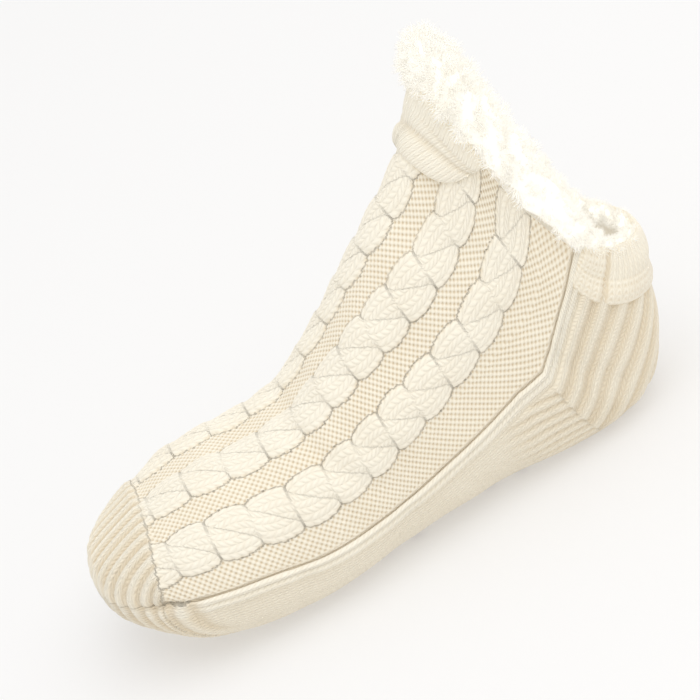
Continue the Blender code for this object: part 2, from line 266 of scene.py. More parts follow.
def line(name, station):
    return read_table(LINE_ROWS, LINE_COLUMNS, name, station)


def shape(name, station):
    return read_table(SHAPE_ROWS, SHAPE_COLUMNS, name, station)


def toe_closing(station):
    """Share of the full section that is left where the toe rounds off."""
    left = 1.0 - np.clip(line("low_along", station) * FOOT_LENGTH / TOE_ROUND_LENGTH, 0.0, 1.0)
    return (1.0 - left**TOE_EXPONENT) ** (1.0 / TOE_EXPONENT)


def outline(station, angle, closing=1.0):
    """Point of the plain outer skin. The angle is 0 on the top line and grows towards -Y."""
    low_x = (line("low_along", station) - 0.5) * FOOT_LENGTH
    low_z = line("spring", station) * TOE_SPRING + line("arch", station) * ARCH_RISE
    low_z = low_z - line("press", station) * SOLE_PRESS + line("heel", station) * HEEL_HEIGHT
    high_x = (line("high_along", station) - 0.5) * FOOT_LENGTH
    high_z = line("ball", station) * BALL_HEIGHT + line("rise", station) * (COLLAR_HEIGHT - BALL_HEIGHT)
    width = shape("ball", station) * BALL_WIDTH + shape("heel", station) * HEEL_WIDTH
    width = width + shape("collar", station) * COLLAR_WIDTH
    up = np.cos(angle)
    out = np.sin(angle)
    power = 2.0 / np.where(up > 0, HIGH_EXPONENT, LOW_EXPONENT)
    height = np.sign(up) * np.abs(up) ** power
    side = np.sign(out) * np.abs(out) ** power
    share = 0.5 + 0.5 * height * closing**TOE_SIDE_EXPONENT
    y = -0.5 * width * side * closing * (1.0 - shape("taper", station) * height)
    length = np.hypot(high_x - low_x, high_z - low_z)
    sag = shape("sag", station) * COLLAR_SAG * out**2 * (1.0 - SAG_LOW_SHARE * up) / length
    x = low_x + (high_x - low_x) * share - (high_z - low_z) * sag
    z = low_z + (high_z - low_z) * share + (high_x - low_x) * sag
    return np.stack([x, y, np.maximum(z, 0.0)], axis=-1)


def skin(station, angle):
    """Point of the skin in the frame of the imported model, with the toe rounded off."""
    return outline(station, angle, toe_closing(station)) + SHIFT


def outward(station, angle):
    """Direction out of the skin, from two short steps on it."""
    station = np.clip(station, 2 * SKIN_STEP, LAST_STATION - SKIN_STEP)
    along = skin(station + SKIN_STEP, angle) - skin(station - SKIN_STEP, angle)
    around = skin(station, angle + SKIN_STEP) - skin(station, angle - SKIN_STEP)
    normal = np.cross(around, along)
    return normal / np.linalg.norm(normal, axis=-1, keepdims=True)


def lifted(station, angle, lift):
    """Point that stands off the skin by lift."""
    return skin(station, angle) + outward(station, angle) * np.asarray(lift)[..., None]


top_of_collar = skin(LAST_STATION, 0.0)
print("front of the collar at", [round(1000 * value) for value in top_of_collar], "mm")

# %% [markdown]
# ## A tape measure on the skin
#
# Stitches have a fixed size in millimetres, not in angles. So each section is measured once with a
# tape: how far it is from the top line to every angle. Reading that table backwards turns a place in
# millimetres into an angle, and so a cable keeps its width where the foot gets wider.

# %% Measure every section
SECTION_COUNT = 441
ANGLE_COUNT = 361
FINE_STATIONS = np.linspace(0.0, LAST_STATION, SECTION_COUNT)
FINE_ANGLES = np.linspace(-math.pi, math.pi, ANGLE_COUNT)
FINE_SHARES = np.linspace(-1.0, 1.0, ANGLE_COUNT)
CABLE_WIDTH = 0.021
CABLE_SPACING = 0.032
CABLES = 4
CABLE_PLACES = (np.arange(CABLES) - (CABLES - 1) / 2) * CABLE_SPACING
PURL_WIDTH = 0.025
PANEL_TURN = 0.021
SEAM_CORNER = 0.003
SEAM_CORNER_STATIONS = 0.7
MITRE_STATION = 7.6


def measure_sections():
    """Half girth of each fine section, and its angles at even shares of that girth."""
    points = outline(FINE_STATIONS[:, None] * np.ones(len(FINE_ANGLES)), FINE_ANGLES[None, :])
    steps = np.linalg.norm(np.diff(points, axis=1), axis=-1)
    tape = np.concatenate([np.zeros((len(points), 1)), np.cumsum(steps, axis=1)], axis=1)
    half = tape[:, -1] / 2
    angles = []
    for reach, marks in zip(half, tape):
        angles.append(np.interp(FINE_SHARES * reach, marks - reach, FINE_ANGLES))
    return half, np.array(angles)


HALF_GIRTHS, GIRTH_ANGLES = measure_sections()


def half_girth(station):
    return np.interp(station, FINE_STATIONS, HALF_GIRTHS)


def between(table, row, column, down, over):
    """Value amid four neighbours of a table, from a whole row and column and the shares past them."""
    near = table[row, column] * (1 - over) + table[row, column + 1] * over
    far = table[row + 1, column] * (1 - over) + table[row + 1, column + 1] * over
    return near * (1 - down) + far * down


def angle_at(station, across):
    """Angle of points that lie across metres from the top line, counted on past the bottom line."""
    share = (across / half_girth(station) + 1.0) % 2.0
    row = np.clip(station / LAST_STATION, 0.0, 1.0) * (SECTION_COUNT - 1)
    first_row, down = split_place(row, SECTION_COUNT)
    first_column, over = split_place(share / 2 * (ANGLE_COUNT - 1), ANGLE_COUNT)
    return between(GIRTH_ANGLES, first_row, first_column, down, over)


def tape_along(angles):
    """Length of knit from the toe to each fine station along a line of given angles."""
    steps = np.linalg.norm(np.diff(skin(FINE_STATIONS, angles), axis=0), axis=1)
    return np.concatenate([[0.0], np.cumsum(steps)])


PANEL_COURSES = tape_along(angle_at(FINE_STATIONS, shape("turn", FINE_STATIONS) * PANEL_TURN))
SOLE_COURSES = tape_along(np.full(len(FINE_STATIONS), math.pi))
LAST_COURSE = PANEL_COURSES[-1]
print("girth at the ball:", round(2000 * half_girth(3.0)), "mm, panel", round(1000 * LAST_COURSE), "mm long")
print("sole and heel:", round(1000 * SOLE_COURSES[-1]), "mm long")


def panel_turn(station):
    """How far the cable panel's middle lies off the top line, towards -Y."""
    return shape("turn", station) * PANEL_TURN


def panel_half(station):
    """Distance from the panel's middle to its seam, with a corner where the seam turns up at the heel."""
    off_mitre = np.abs(station - MITRE_STATION) / SEAM_CORNER_STATIONS
    corner = SEAM_CORNER * np.clip(1.0 - off_mitre, 0.0, 1.0)
    return CABLE_PLACES[-1] + CABLE_WIDTH / 2 + shape("purl", station) * PURL_WIDTH + corner


# %% [markdown]
# ## Stitches as formulas
#
# A knit stitch is a V of two legs, and a purl stitch is the small bump on its back. A row of V's up
# the cloth is a wale. A cable is made by knitting the right three wales before the left three now and
# then, so two strands of three wales cross like a rope. Each of these is a small height formula of two
# numbers, the wale and the row. Real yarn curves could be modelled for every stitch, but the sock has
# more than seven thousand of them, and heights on a fine grid look the same from a few hand widths.

# %% Height of single stitches
STITCH_WIDTH = 0.0029
STITCH_HEIGHT = 0.0027
LEG_SLANT = 0.85
LOOP_DEPTH = 0.45
PIT_POWER = 2.2


def fraction(value):
    return value - np.floor(value)


def ramp(value, start, end):
    """Goes smoothly from 0 at start to 1 at end."""
    share = np.clip((value - start) / (end - start), 0.0, 1.0)
    return share * share * (3.0 - 2.0 * share)


def bell(off, half_width):
    """1 in the middle, falling smoothly to both sides."""
    return np.exp(-((off / half_width) ** 2))


def knit_height(wale, row):
    """Height of a field of V stitches, 0 to 1."""
    off_spine = np.abs(2.0 * fraction(wale) - 1.0)
    leg = np.sqrt(np.sin(math.pi * off_spine).clip(0.0, 1.0))
    loop = np.abs(2.0 * fraction(row - LEG_SLANT * off_spine) - 1.0)
    return leg * (1.0 - LOOP_DEPTH * loop**2)


def purl_height(wale, row):
    """Height of a field of purl, 0 to 1: full yarn with a small pit between each four bumps."""
    pits = 0.5 - 0.5 * np.cos(2 * math.pi * wale) * np.cos(2 * math.pi * row)
    return 1.0 - pits.clip(0.0, 1.0) ** PIT_POWER


samples = np.linspace(0.0, 1.0, 9)
print("a knit stitch across its middle:", np.round(knit_height(samples, np.full(9, 0.5)), 2))

# %% Height of a rope cable
CABLE_LOBE = 0.0175
STRAND_SWING = 0.0026
STRAND_HALF = 0.0084
STRAND_HEIGHT = 0.0018
STRAND_CROSS = 0.0005
STRAND_WALES = 3
STRAND_DWELL = 0.5
STRAND_ROUND = 0.85
ROW_LEAN = 0.7
TURN_STEP = 0.05
# Width of the painted shade line at each crossing, as a share of the strand's half width.
CROSSING_LINE = 0.16


def strand_middle(turn):
    """Where a strand lies across the cable, -1 to 1. It rests at the sides and crosses quickly."""
    swing = np.cos(turn)
    return np.sign(swing) * np.abs(swing) ** STRAND_DWELL


def cable(across, course):
    """Height of a rope cable, the wale and row of its upper strand, and a painted shade line where the
    strands cross.
    """
    best = np.full(np.broadcast(across, course).shape, -1.0)
    wale = np.zeros_like(best)
    row = np.zeros_like(best)
    edge = np.zeros_like(best)
    for strand in (0, 1):
        turn = math.pi * (course / CABLE_LOBE + strand)
        middle = STRAND_SWING * strand_middle(turn)
        ahead = STRAND_SWING * strand_middle(turn + TURN_STEP)
        lean = (ahead - middle) / (TURN_STEP / math.pi * CABLE_LOBE)
        off = (across - middle) / STRAND_HALF
        dome = np.clip(1.0 - off**2, 0.0, 1.0) ** STRAND_ROUND
        height = STRAND_HEIGHT * dome - STRAND_CROSS * np.sin(turn) * dome
        on_top = (height > best) & (np.abs(off) < 1.0)
        best = np.where(on_top, height, best)
        wale = np.where(on_top, (off + 1.0) * STRAND_WALES / 2, wale)
        row = np.where(on_top, (course + ROW_LEAN * lean * (across - middle)) / STITCH_HEIGHT, row)
        beside = 1.0 - ramp(np.abs(across + middle) / STRAND_HALF, 0.75, 1.0)
        # Painted shade: a dark line along the strand's edge where it dips under the other strand.
        crossing_shade_line = bell(1.0 - np.abs(off), CROSSING_LINE) * np.abs(np.sin(turn)) ** 2 * beside
        edge = np.where(on_top, crossing_shade_line, edge)
    return best, wale, row, edge


across_cable = np.linspace(-0.012, 0.012, 7)
print("cable height across a crossing:", np.round(1000 * cable(across_cable, np.full(7, 0.0))[0], 1), "mm")

# %% [markdown]
# ## The cable panel
#
# The panel runs from the toe up the instep to the collar. Four cables lie on a ground of purl, which
# widens towards the ankle, and at the toe the panel turns to ribs that run over the tip. It is one fine
# grid laid on the skin and lifted by the stitch formulas. Next to the height, every point also keeps
# its wale, its row, how much purl it has, how much painted shade it gets in hollows, and its warm tint,
# so that the yarn material can draw finer stitches and painted shadows in the same places.

# %% Where each kind of knit lies
CABLE_FADE = 0.045
TOE_SEAM_LENGTH = 0.020
TOE_EDGE_BOW = 0.009
RIB_PITCH = 0.0070
RIB_HEIGHT = 0.0022
HEEL_RIB_PITCH = 0.0096
HEEL_RIB_HEIGHT = 0.0022
KNIT_RELIEF = 0.00042
PURL_RELIEF = 0.00070
PURL_SINK = 0.0008
EDGE_SINK = 0.0002
EDGE_SHARE = 0.3
PLAIN_EDGE = (0.0022, 0.0010)
DITCH_WIDTH = 0.0011
DITCH_DEPTH = 0.0011
HOLLOW_DEPTH = 0.0030
RIB_SHADE = 1.8
PINCH_POINTS = 80
PINCH_STRETCH = 1.5
TIP_FADE = (0.0004, 0.0040)


def toe_distance(station):
    return line("low_along", station) * FOOT_LENGTH


def toe_pinch_station():
    return np.interp(TOE_SEAM_LENGTH, toe_distance(FINE_STATIONS), FINE_STATIONS)


PINCH = toe_pinch_station()
PINCH_STATIONS = np.full(PINCH_POINTS, PINCH)
PINCH_PLACES = np.linspace(0.0, half_girth(PINCH) * 0.5, PINCH_POINTS)
PINCH_SIDES = -skin(PINCH_STATIONS, angle_at(PINCH_STATIONS, PINCH_PLACES))[:, 1]


def toe_wale(points):
    """Place across the panel of the rib that a point of the toe lies on. A rib keeps its y over the tip."""
    side = np.abs(points[:, 1])
    beyond = np.maximum(side - PINCH_SIDES.max(), 0.0)
    return np.interp(side, PINCH_SIDES, PINCH_PLACES) + PINCH_STRETCH * beyond


def rib(place, pitch):
    """Broad ridges with narrow valleys between them, 0 to 1."""
    return np.sqrt(0.5 + 0.5 * np.cos(2 * math.pi * place / pitch))


def off_tip(station):
    """0 at the very tip of the toe, where all lines of the grid meet, and 1 a little behind it."""
    return ramp(toe_distance(station), *TIP_FADE)


def past_toe_edge(station, place):
    """How far a point lies behind the bowed edge between the ribbed toe and the cable panel."""
    bow = TOE_EDGE_BOW * (1.0 - np.clip(np.abs(place) / panel_half(station), 0.0, 1.0) ** 2)
    return toe_distance(station) - TOE_SEAM_LENGTH - bow


# Creases placed where the empty sock gives: start x and z, end x and z, depth, half width
CREASE_ROWS = (
    (-0.030, 0.070, -0.012, 0.044, 0.0013, 0.0050),
    (-0.012, 0.082, 0.006, 0.060, -0.0008, 0.0060),
    (0.046, 0.128, 0.068, 0.098, 0.0009, 0.0060),
    (0.070, 0.052, 0.092, 0.026, 0.0008, 0.0050),
    (-0.060, 0.004, -0.052, 0.024, 0.0008, 0.0050),
    (-0.016, 0.006, -0.004, 0.026, 0.0009, 0.0055),
    (0.030, 0.006, 0.044, 0.030, 0.0007, 0.0060),
)


def soft_creases(points):
    """Troughs and ridges at the listed places, and slow swells of a soft empty sock, in metres."""
    x, y, z = points.T
    swell = 0.00045 * np.sin(55.0 * x + 30.0 * z + 1.0) * np.cos(48.0 * y + 20.0 * z)
    swell += 0.00030 * np.sin(140.0 * x - 90.0 * y + 2.0) * np.sin(110.0 * z + 40.0 * x)
    for start_x, start_z, end_x, end_z, depth, half_width in CREASE_ROWS:
        run_x = end_x - start_x
        run_z = end_z - start_z
        reached = (x - start_x) * run_x + (z - start_z) * run_z
        share = np.clip(reached / (run_x**2 + run_z**2), 0.0, 1.0)
        off = np.hypot(x - start_x - share * run_x, z - start_z - share * run_z)
        swell = swell - depth * bell(off, half_width)
    return swell


def panel_knit(station, place, course, points):
    """Height and looks of the cable panel and of the ribbed toe."""
    half = panel_half(station)
    past_toe = past_toe_edge(station, place)
    toe = 1.0 - ramp(past_toe, -0.002, 0.003)
    fade_at_toe = 0.3 + 0.7 * ramp(past_toe, 0.0, 0.016)
    fade_at_collar = 1.0 - 0.5 * ramp(course, LAST_COURSE - CABLE_FADE, LAST_COURSE)
    fade = fade_at_toe * fade_at_collar
    wale = place / STITCH_WIDTH
    row = course / STITCH_HEIGHT
    height = -PURL_SINK * np.ones_like(place)
    purl = np.ones_like(place)
    # crossing holds the painted shade line where the cable strands cross.
    crossing = np.zeros_like(place)
    for middle in CABLE_PLACES:
        rope, rope_wale, rope_row, rope_crossing_shade = cable(place - middle, course)
        inside = rope > 0.0
        raised = ramp(rope / STRAND_HEIGHT, 0.0, EDGE_SHARE)
        height = height * (1.0 - raised) + (rope * fade - EDGE_SINK) * raised
        crossing = np.where(inside, rope_crossing_shade, crossing)
        wale = np.where(inside, rope_wale, wale)
        row = np.where(inside, rope_row, row)
        purl = purl * (1.0 - raised)
    plain = ramp(np.abs(place), half - PLAIN_EDGE[0], half - PLAIN_EDGE[1])
    height = height * (1.0 - plain)
    purl = purl * (1.0 - plain)
    knit_part = KNIT_RELIEF * knit_height(wale, row) * (1.0 - purl)
    height = height + (knit_part + PURL_RELIEF * purl_height(wale, row) * purl)
    toe_place = toe_wale(points)
    toe_rib = rib(toe_place, RIB_PITCH)
    toe_row = toe_distance(station) / STITCH_HEIGHT * 1.3
    toe_fine = KNIT_RELIEF * knit_height(toe_place / STITCH_WIDTH, toe_row) * off_tip(station)
    height = height * (1.0 - toe) + (RIB_HEIGHT * toe_rib + toe_fine) * toe
    wale = np.where(toe > 0.5, toe_place / STITCH_WIDTH, wale)
    row = np.where(toe > 0.5, toe_row, row)
    purl = purl * (1.0 - toe)
    # Painted shade: darker where the knit lies low, along the crossing lines of the cables, in the toe's rib
    # valleys and in the ditch by the seam, and less on the purl.
    hollow = np.clip(0.25 - height / HOLLOW_DEPTH + 0.9 * crossing, 0.0, 1.0) * (1.0 - toe)
    hollow = hollow + RIB_SHADE * (1.0 - toe_rib) * toe
    ditch = bell(np.abs(place) - half, DITCH_WIDTH) * (1.0 - toe * 0.7) * off_tip(station)
    height = height - DITCH_DEPTH * ditch
    hollow = np.clip(hollow * (1.0 - 0.65 * purl) + ditch, 0.0, 1.0) * off_tip(station)
    # The warm tint is a plain yarn tone here, a little stronger at the toe.
    return height, {"wale": wale, "row": row, "purl": purl, "hollow": hollow, "warm": 0.15 + 0.25 * toe}


# %% A sheet of knit from a grid
WELD_DISTANCE = 0.00002
VOTE_STEP = 50
FOOT_MIDDLE_X = (-0.09, 0.02)
FOOT_MIDDLE_Z = 0.034
ANKLE_MIDDLE_SHIFT = 0.055
ANKLE_MIDDLE_RUN = 0.06
ANKLE_MIDDLE_Z = 0.12


def place_grid(name, columns, rows, place_points):
    """Piece from bmesh's grid. place_points gets two shares per point, and returns points and looks."""
    build = bmesh.new()
    bmesh.ops.create_grid(build, x_segments=columns, y_segments=rows, size=0.5)
    mesh = mesh_of(name, build)
    flat = np.empty(len(mesh.vertices) * 3)
    mesh.vertices.foreach_get("co", flat)
    shares = flat.reshape(-1, 3)[:, :2] + 0.5
    points, looks = place_points(shares[:, 0], shares[:, 1])
    mesh.vertices.foreach_set("co", points.astype(np.float32).ravel())
    for look, values in looks.items():
        layer = mesh.attributes.new(look, "FLOAT", "POINT")
        layer.data.foreach_set("value", np.broadcast_to(values, len(points)).astype(np.float32))
    mesh.update()
    mesh.shade_smooth()
    return add_object(name, mesh)


def weld(piece):
    """Joins points that lie in the same place."""
    build = bmesh.new()
    build.from_mesh(piece.data)
    bmesh.ops.remove_doubles(build, verts=build.verts, dist=WELD_DISTANCE)
    build.to_mesh(piece.data)
    build.free()


def face_out(piece, centre_of):
    """Turns the faces over if most of them look towards the middle line of the sock."""
    mesh = piece.data
    build = bmesh.new()
    build.from_mesh(mesh)
    votes = 0
    for face in list(build.faces)[::VOTE_STEP]:
        middle = face.calc_center_median()
        votes += 1 if face.normal.dot(middle - Vector(centre_of(middle))) > 0 else -1
    if votes < 0:
        bmesh.ops.reverse_faces(build, faces=build.faces)
    build.to_mesh(mesh)
    build.free()


def sock_middle(point):
    """Point on the line through the middle of the foot and the ankle, next to a given point."""
    front, back = FOOT_MIDDLE_X
    if point.x < back:
        return max(point.x, front), 0.0, FOOT_MIDDLE_Z
    share = min(1.0, (point.x - back) / ANKLE_MIDDLE_RUN)
    return back + ANKLE_MIDDLE_SHIFT * share, 0.0, min(max(point.z, FOOT_MIDDLE_Z), ANKLE_MIDDLE_Z)


def triangles(piece):
    return sum(len(face.vertices) - 2 for face in piece.data.polygons)


# %% Lay the panel and the toe
PANEL_GRID = (250, 372)
TOE_JOIN = 0.030
TOE_JOIN_STATION = float(np.interp(TOE_JOIN, toe_distance(FINE_STATIONS), FINE_STATIONS))
SEAM_TUCK = 0.0008


def panel_points(over, along):
    """Points of the cable panel from seam to seam."""
    first = np.interp(TOE_JOIN_STATION, FINE_STATIONS, PANEL_COURSES)
    course = first + along * (LAST_COURSE - first)
    station = np.interp(course, PANEL_COURSES, FINE_STATIONS)
    place = (2.0 * over - 1.0) * (panel_half(station) + SEAM_TUCK)
    angle = angle_at(station, place + panel_turn(station))
    plain = skin(station, angle)
    height, looks = panel_knit(station, place, course, plain)
    return lifted(station, angle, height + soft_creases(plain)), looks


instep_knit = place_grid("instep_knit", *PANEL_GRID, panel_points)
face_out(instep_knit, sock_middle)
print("instep_knit:", triangles(instep_knit), "triangles")

# %% [markdown]
# ## The sole, the heel and their ribs
#
# The part under the seam is a second piece of knit. It starts at the toe, passes under the foot and
# turns up round the heel to the cuff. Two ridges of plain knit run along its sewn edge, lighter than the
# rest, which gets painted shade. Round the heel it is ribbed, and the ribs fade out along the side until
# the sole is plain and worn a little flat. A painted warm shade deepens towards the floor.

# %% Lay the sole and heel
SOLE_GRID = (232, 404)
GRIP_HEIGHT = 0.0009
SEAM_RIDGE_PITCH = 0.0030
SEAM_RIDGE_HEIGHT = 0.0014
MITRE_SLANT = 0.27
TOE_RIB_FADE = (0.026, 0.044)
HEEL_RIB_FADE = (0.014, 0.046)
HEEL_RIB_START = (0.0065, 0.0090)
GROUND_FADE = (-0.010, -0.0035)
SOLE_SHARE = 0.8
MITRE_COURSE = float(np.interp(MITRE_STATION, FINE_STATIONS, SOLE_COURSES))


def sole_knit_height(station, below, course, points):
    """Height and looks of the knit under the seam. below is the distance from the nearest seam."""
    toe = 1.0 - ramp(toe_distance(station), *TOE_RIB_FADE)
    before_mitre = np.maximum(MITRE_COURSE - course, 0.0)
    low = ramp(before_mitre, 0.0, 0.002)
    heel = (1.0 - 0.45 * low) * (1.0 - ramp(before_mitre, *HEEL_RIB_FADE))
    wale = below / STITCH_WIDTH
    row = course / STITCH_HEIGHT
    heel_place = below + MITRE_SLANT * before_mitre
    heel_rib = np.where(low > 0.5, rib(2.0 * heel_place, HEEL_RIB_PITCH), rib(heel_place, HEEL_RIB_PITCH))
    toe_rib = rib(toe_wale(points), RIB_PITCH)
    away = ramp(below, *HEEL_RIB_START)
    ground = ramp(-points[:, 2], *GROUND_FADE)
    relief = HEEL_RIB_HEIGHT * heel_rib * heel * away * (1.0 - 0.8 * ground)
    relief = relief + RIB_HEIGHT * SOLE_SHARE * toe_rib * toe * (1.0 - 0.7 * ground)
    ridges = SEAM_RIDGE_HEIGHT * (0.5 - 0.5 * np.cos(2 * math.pi * below / SEAM_RIDGE_PITCH))
    beside = 1.0 - ramp(below, 1.9 * SEAM_RIDGE_PITCH, 2.1 * SEAM_RIDGE_PITCH)
    relief = relief + ridges * beside * (1.0 - toe)
    fine = KNIT_RELIEF * SOLE_SHARE * knit_height(wale, row) * (1.0 - 0.6 * ground)
    # Painted shade: in the rib valleys of the heel and toe, and over the sole beyond the two seam ridges.
    # Here the warm tint is painted warm shade, deeper towards the floor and left off the seam ridges.
    hollow = RIB_SHADE * (1.0 - heel_rib) * heel * away + RIB_SHADE * (1.0 - toe_rib) * toe
    hollow = np.clip(hollow + 0.3 * (1.0 - beside), 0.0, 1.0)
    warm = np.clip(0.45 + 0.35 * ground - 0.45 * beside, 0.0, 1.0)
    looks = {"wale": wale, "row": row, "purl": np.zeros_like(below), "hollow": hollow, "warm": warm}
    return relief + fine, looks


def sole_points(over, along):
    """Points of the knit from one seam under the foot to the other."""
    first = np.interp(TOE_JOIN_STATION, FINE_STATIONS, SOLE_COURSES)
    course = first + along * (SOLE_COURSES[-1] - first)
    station = np.interp(course, SOLE_COURSES, FINE_STATIONS)
    half = panel_half(station)
    width = 2.0 * (half_girth(station) - half)
    below = np.minimum(over, 1.0 - over) * width
    place = half + over * width
    angle = angle_at(station, place + panel_turn(station))
    plain = skin(station, angle)
    height, looks = sole_knit_height(station, below, course, plain)
    creases = soft_creases(plain) * ramp(plain[:, 2], 0.002, 0.012)
    points = lifted(station, angle, height + creases)
    points[:, 2] = np.maximum(points[:, 2], GRIP_HEIGHT * 0.7)
    return points, looks


sole_knit = place_grid("sole_knit", *SOLE_GRID, sole_points)
face_out(sole_knit, sock_middle)
print("sole_knit:", triangles(sole_knit), "triangles")

# %% Close the toe
TOE_GRID = (400, 84)
TOE_REACH = 0.0305
TOE_TUCK = 0.0002
SEAM_BLEND = 0.0002
TIP_BLEND = 0.006
SEAM_START = (0.008, 0.017)
PINCH_WIDTH = 0.0022
PINCH_DEPTH = 0.0022
PINCH_FADE = (0.021, 0.029)


def toe_points(over, along):
    """Points of the toe from its tip back to where the panel and the sole take over."""
    from_tip = (1.0 - np.cos(along * math.pi / 2)) * TOE_REACH
    station = np.interp(from_tip, toe_distance(FINE_STATIONS), FINE_STATIONS)
    girth = 2.0 * half_girth(station)
    half = panel_half(station)
    place = (over - 0.5) * girth
    angle = angle_at(station, place + panel_turn(station))
    plain = skin(station, angle)
    course = np.interp(station, FINE_STATIONS, PANEL_COURSES)
    above = np.abs(place) < half
    upper, upper_looks = panel_knit(station, place, course, plain)
    lower, lower_looks = sole_knit_height(station, np.abs(np.abs(place) - half), course, plain)
    smooth = off_tip(station)
    tip_rib = rib(toe_wale(plain), RIB_PITCH)
    seamed = ramp(toe_distance(station), *SEAM_START)
    blend = SEAM_BLEND + TIP_BLEND * (1.0 - seamed)
    under = ramp(np.abs(place) - half, -blend, blend)
    height = (upper * (1.0 - under) + lower * under) * smooth
    height = height + RIB_HEIGHT * SOLE_SHARE * tip_rib * (1.0 - smooth)
    looks = {look: np.where(above, upper_looks[look], lower_looks[look]) for look in upper_looks}
    for look in ("hollow", "warm"):
        looks[look] = upper_looks[look] * (1.0 - under) + lower_looks[look] * under
    # Painted shade: more warm shade at the tip, darker rib valleys on the tip, and painted shade in the pinch
    # where the seam starts.
    looks["warm"] = looks["warm"] * smooth + 0.5 * (1.0 - smooth)
    looks["hollow"] = looks["hollow"] * smooth + 0.7 * (1.0 - tip_rib) * (1.0 - smooth)
    pinch = bell(np.abs(place) - half, PINCH_WIDTH) * seamed
    pinch = pinch * (1.0 - ramp(toe_distance(station), *PINCH_FADE))
    height = height - PINCH_DEPTH * pinch
    looks["hollow"] = np.clip(looks["hollow"] + 0.8 * pinch, 0.0, 1.0)
    return lifted(station, angle, height + soft_creases(plain) - TOE_TUCK * ramp(along, 0.97, 1.0)), looks


toe_knit = place_grid("toe_knit", *TOE_GRID, toe_points)
weld(toe_knit)
face_out(toe_knit, sock_middle)
print("toe_knit:", triangles(toe_knit), "triangles")

# %% [markdown]
# ## Bands at the collar
#
# The front hem is a puffy double fold of fine knit, and the heel cuff is the top of the heel turned over
# outwards. Both lie on the skin just below the rim. Their depth has to run square to the rim, so each
# place on the rim walks down the skin in short steps, and the band's outline is set along that walk.

# %% Walk down from the rim
WALK_STEPS = 8
WALK_SHARES = np.linspace(0.0, 1.0, WALK_STEPS + 1)
BAND_GAP = 0.0003
CUFF_DEPTH = 0.019
CUFF_THICKNESS = 0.0038
HEM_DEPTH = 0.018
HEM_THICKNESS = 0.0042
HEM_WIDTH = 0.080


def slopes(station, angle):
    """How far the skin moves for a unit of station and for a unit of angle."""
    along = (skin(station, angle) - skin(station - SKIN_STEP, angle)) / SKIN_STEP
    around = skin(station, angle + SKIN_STEP) - skin(station, angle - SKIN_STEP)
    return along, around / (2 * SKIN_STEP)


def out_of_rim(angle):
    """Direction out of the opening at places on the rim, square to the rim and along the skin."""
    rim = np.full(np.shape(angle), LAST_STATION)
    along, around = slopes(rim, angle)
    across = np.cross(outward(rim, angle), around)
    across = across * np.sign(np.sum(across * along, axis=-1, keepdims=True))
    return across / np.linalg.norm(across, axis=-1, keepdims=True)


def dot(first, second):
    return np.sum(first * second, axis=1)


def walk_down(angle, depth):
    """Stations and angles of evenly spaced places down the skin, for many places on the rim."""
    down = -out_of_rim(angle) * (depth / WALK_STEPS)[:, None]
    station = np.full(len(angle), LAST_STATION)
    turned = np.array(angle, float)
    places = [(station, turned)]
    for _ in range(WALK_STEPS):
        along, around = slopes(station, turned)
        both = dot(along, around)
        along_down = dot(along, down)
        around_down = dot(around, down)
        scale = dot(along, along) * dot(around, around) - both * both
        station = station + (dot(around, around) * along_down - both * around_down) / scale
        turned = turned + (dot(along, along) * around_down - both * along_down) / scale
        places.append((station, turned))
    return np.array(places)


# How a band bulges: share of its depth below the rim, share of its thickness off the wall
BAND_OUTLINE = np.array([
    (0.10, 0.00), (-0.06, 0.10), (-0.10, 0.45), (-0.04, 0.85), (0.14, 1.05), (0.34, 0.98), (0.46, 0.86),
    (0.58, 0.95), (0.78, 0.98), (0.95, 0.72), (1.01, 0.30), (1.00, 0.02), (0.80, 0.00),
    (0.50, 0.00), (0.30, 0.00),
])


def band_profile(way):
    """Point of the closed band outline at shares of the way round it, on a smooth curve."""
    count = len(BAND_OUTLINE)
    place = way * count
    first = np.floor(place).astype(int)
    part = (place - first)[:, None]
    before, start, end, after = (BAND_OUTLINE[(first + step) % count] for step in (-1, 0, 1, 2))
    return curve_between(before, start, end, after, part)


def band_points(angles, depth, thickness, end_share, middle_extra, raised, detail):
    """Function that places a grid as a band along the given angles of the rim."""
    ends = np.linspace(-1.0, 1.0, len(angles))
    full = (1.0 - ends**6) ** 0.5 * (1.0 - end_share) + end_share
    deep = depth * full * (1.0 + middle_extra * (1.0 - ends**2) ** 3)
    walked = walk_down(angles, deep)
    rim_out = out_of_rim(angles)

    def place(round_band, along_band):
        closing = np.minimum(along_band, 1.0 - along_band)
        squeeze = ramp(closing, 0.0, 0.02) ** 0.5
        first, part = split_place(along_band * (len(angles) - 1), len(angles))
        outline_points = band_profile(round_band)
        share = 0.5 + (outline_points[:, 0] - 0.5) * (0.5 + 0.5 * squeeze)
        off = outline_points[:, 1] * squeeze
        first_row, down = split_place(np.clip(share, 0.0, 1.0) * WALK_STEPS, WALK_STEPS + 1)
        spots = [between(walked[:, kind].T, first, first_row, part, down) for kind in (0, 1)]
        ways = np.linspace(0, 1, len(angles))
        thick = np.interp(along_band, ways, thickness * full)
        deep_here = np.interp(along_band, ways, deep)
        bump, looks = detail(along_band, share, np.clip(outline_points[:, 1], 0.0, 1.0))
        points = lifted(spots[0], spots[1], BAND_GAP + off * thick + bump * squeeze)
        above = np.minimum(share, 0.0) * deep_here * raised
        out = rim_out[first] * (1 - part)[:, None] + rim_out[first + 1] * part[:, None]
        return points - out * above[:, None], looks

    return place


# %% The heel cuff
CUFF_FROM_DEGREES = 114
CUFF_TO_DEGREES = 266
BAND_PLACES = 120
CUFF_RIDGES = 3.5
CUFF_LENGTH = 0.118
CUFF_CREASE = 0.115
CUFF_CREASE_WIDTH = 0.010
CUFF_CREASE_DEPTH = 0.0016
CUFF_RIDGE_HEIGHT = 0.00055
CUFF_WALE_HEIGHT = 0.00035
CUFF_LUMP = 0.0005


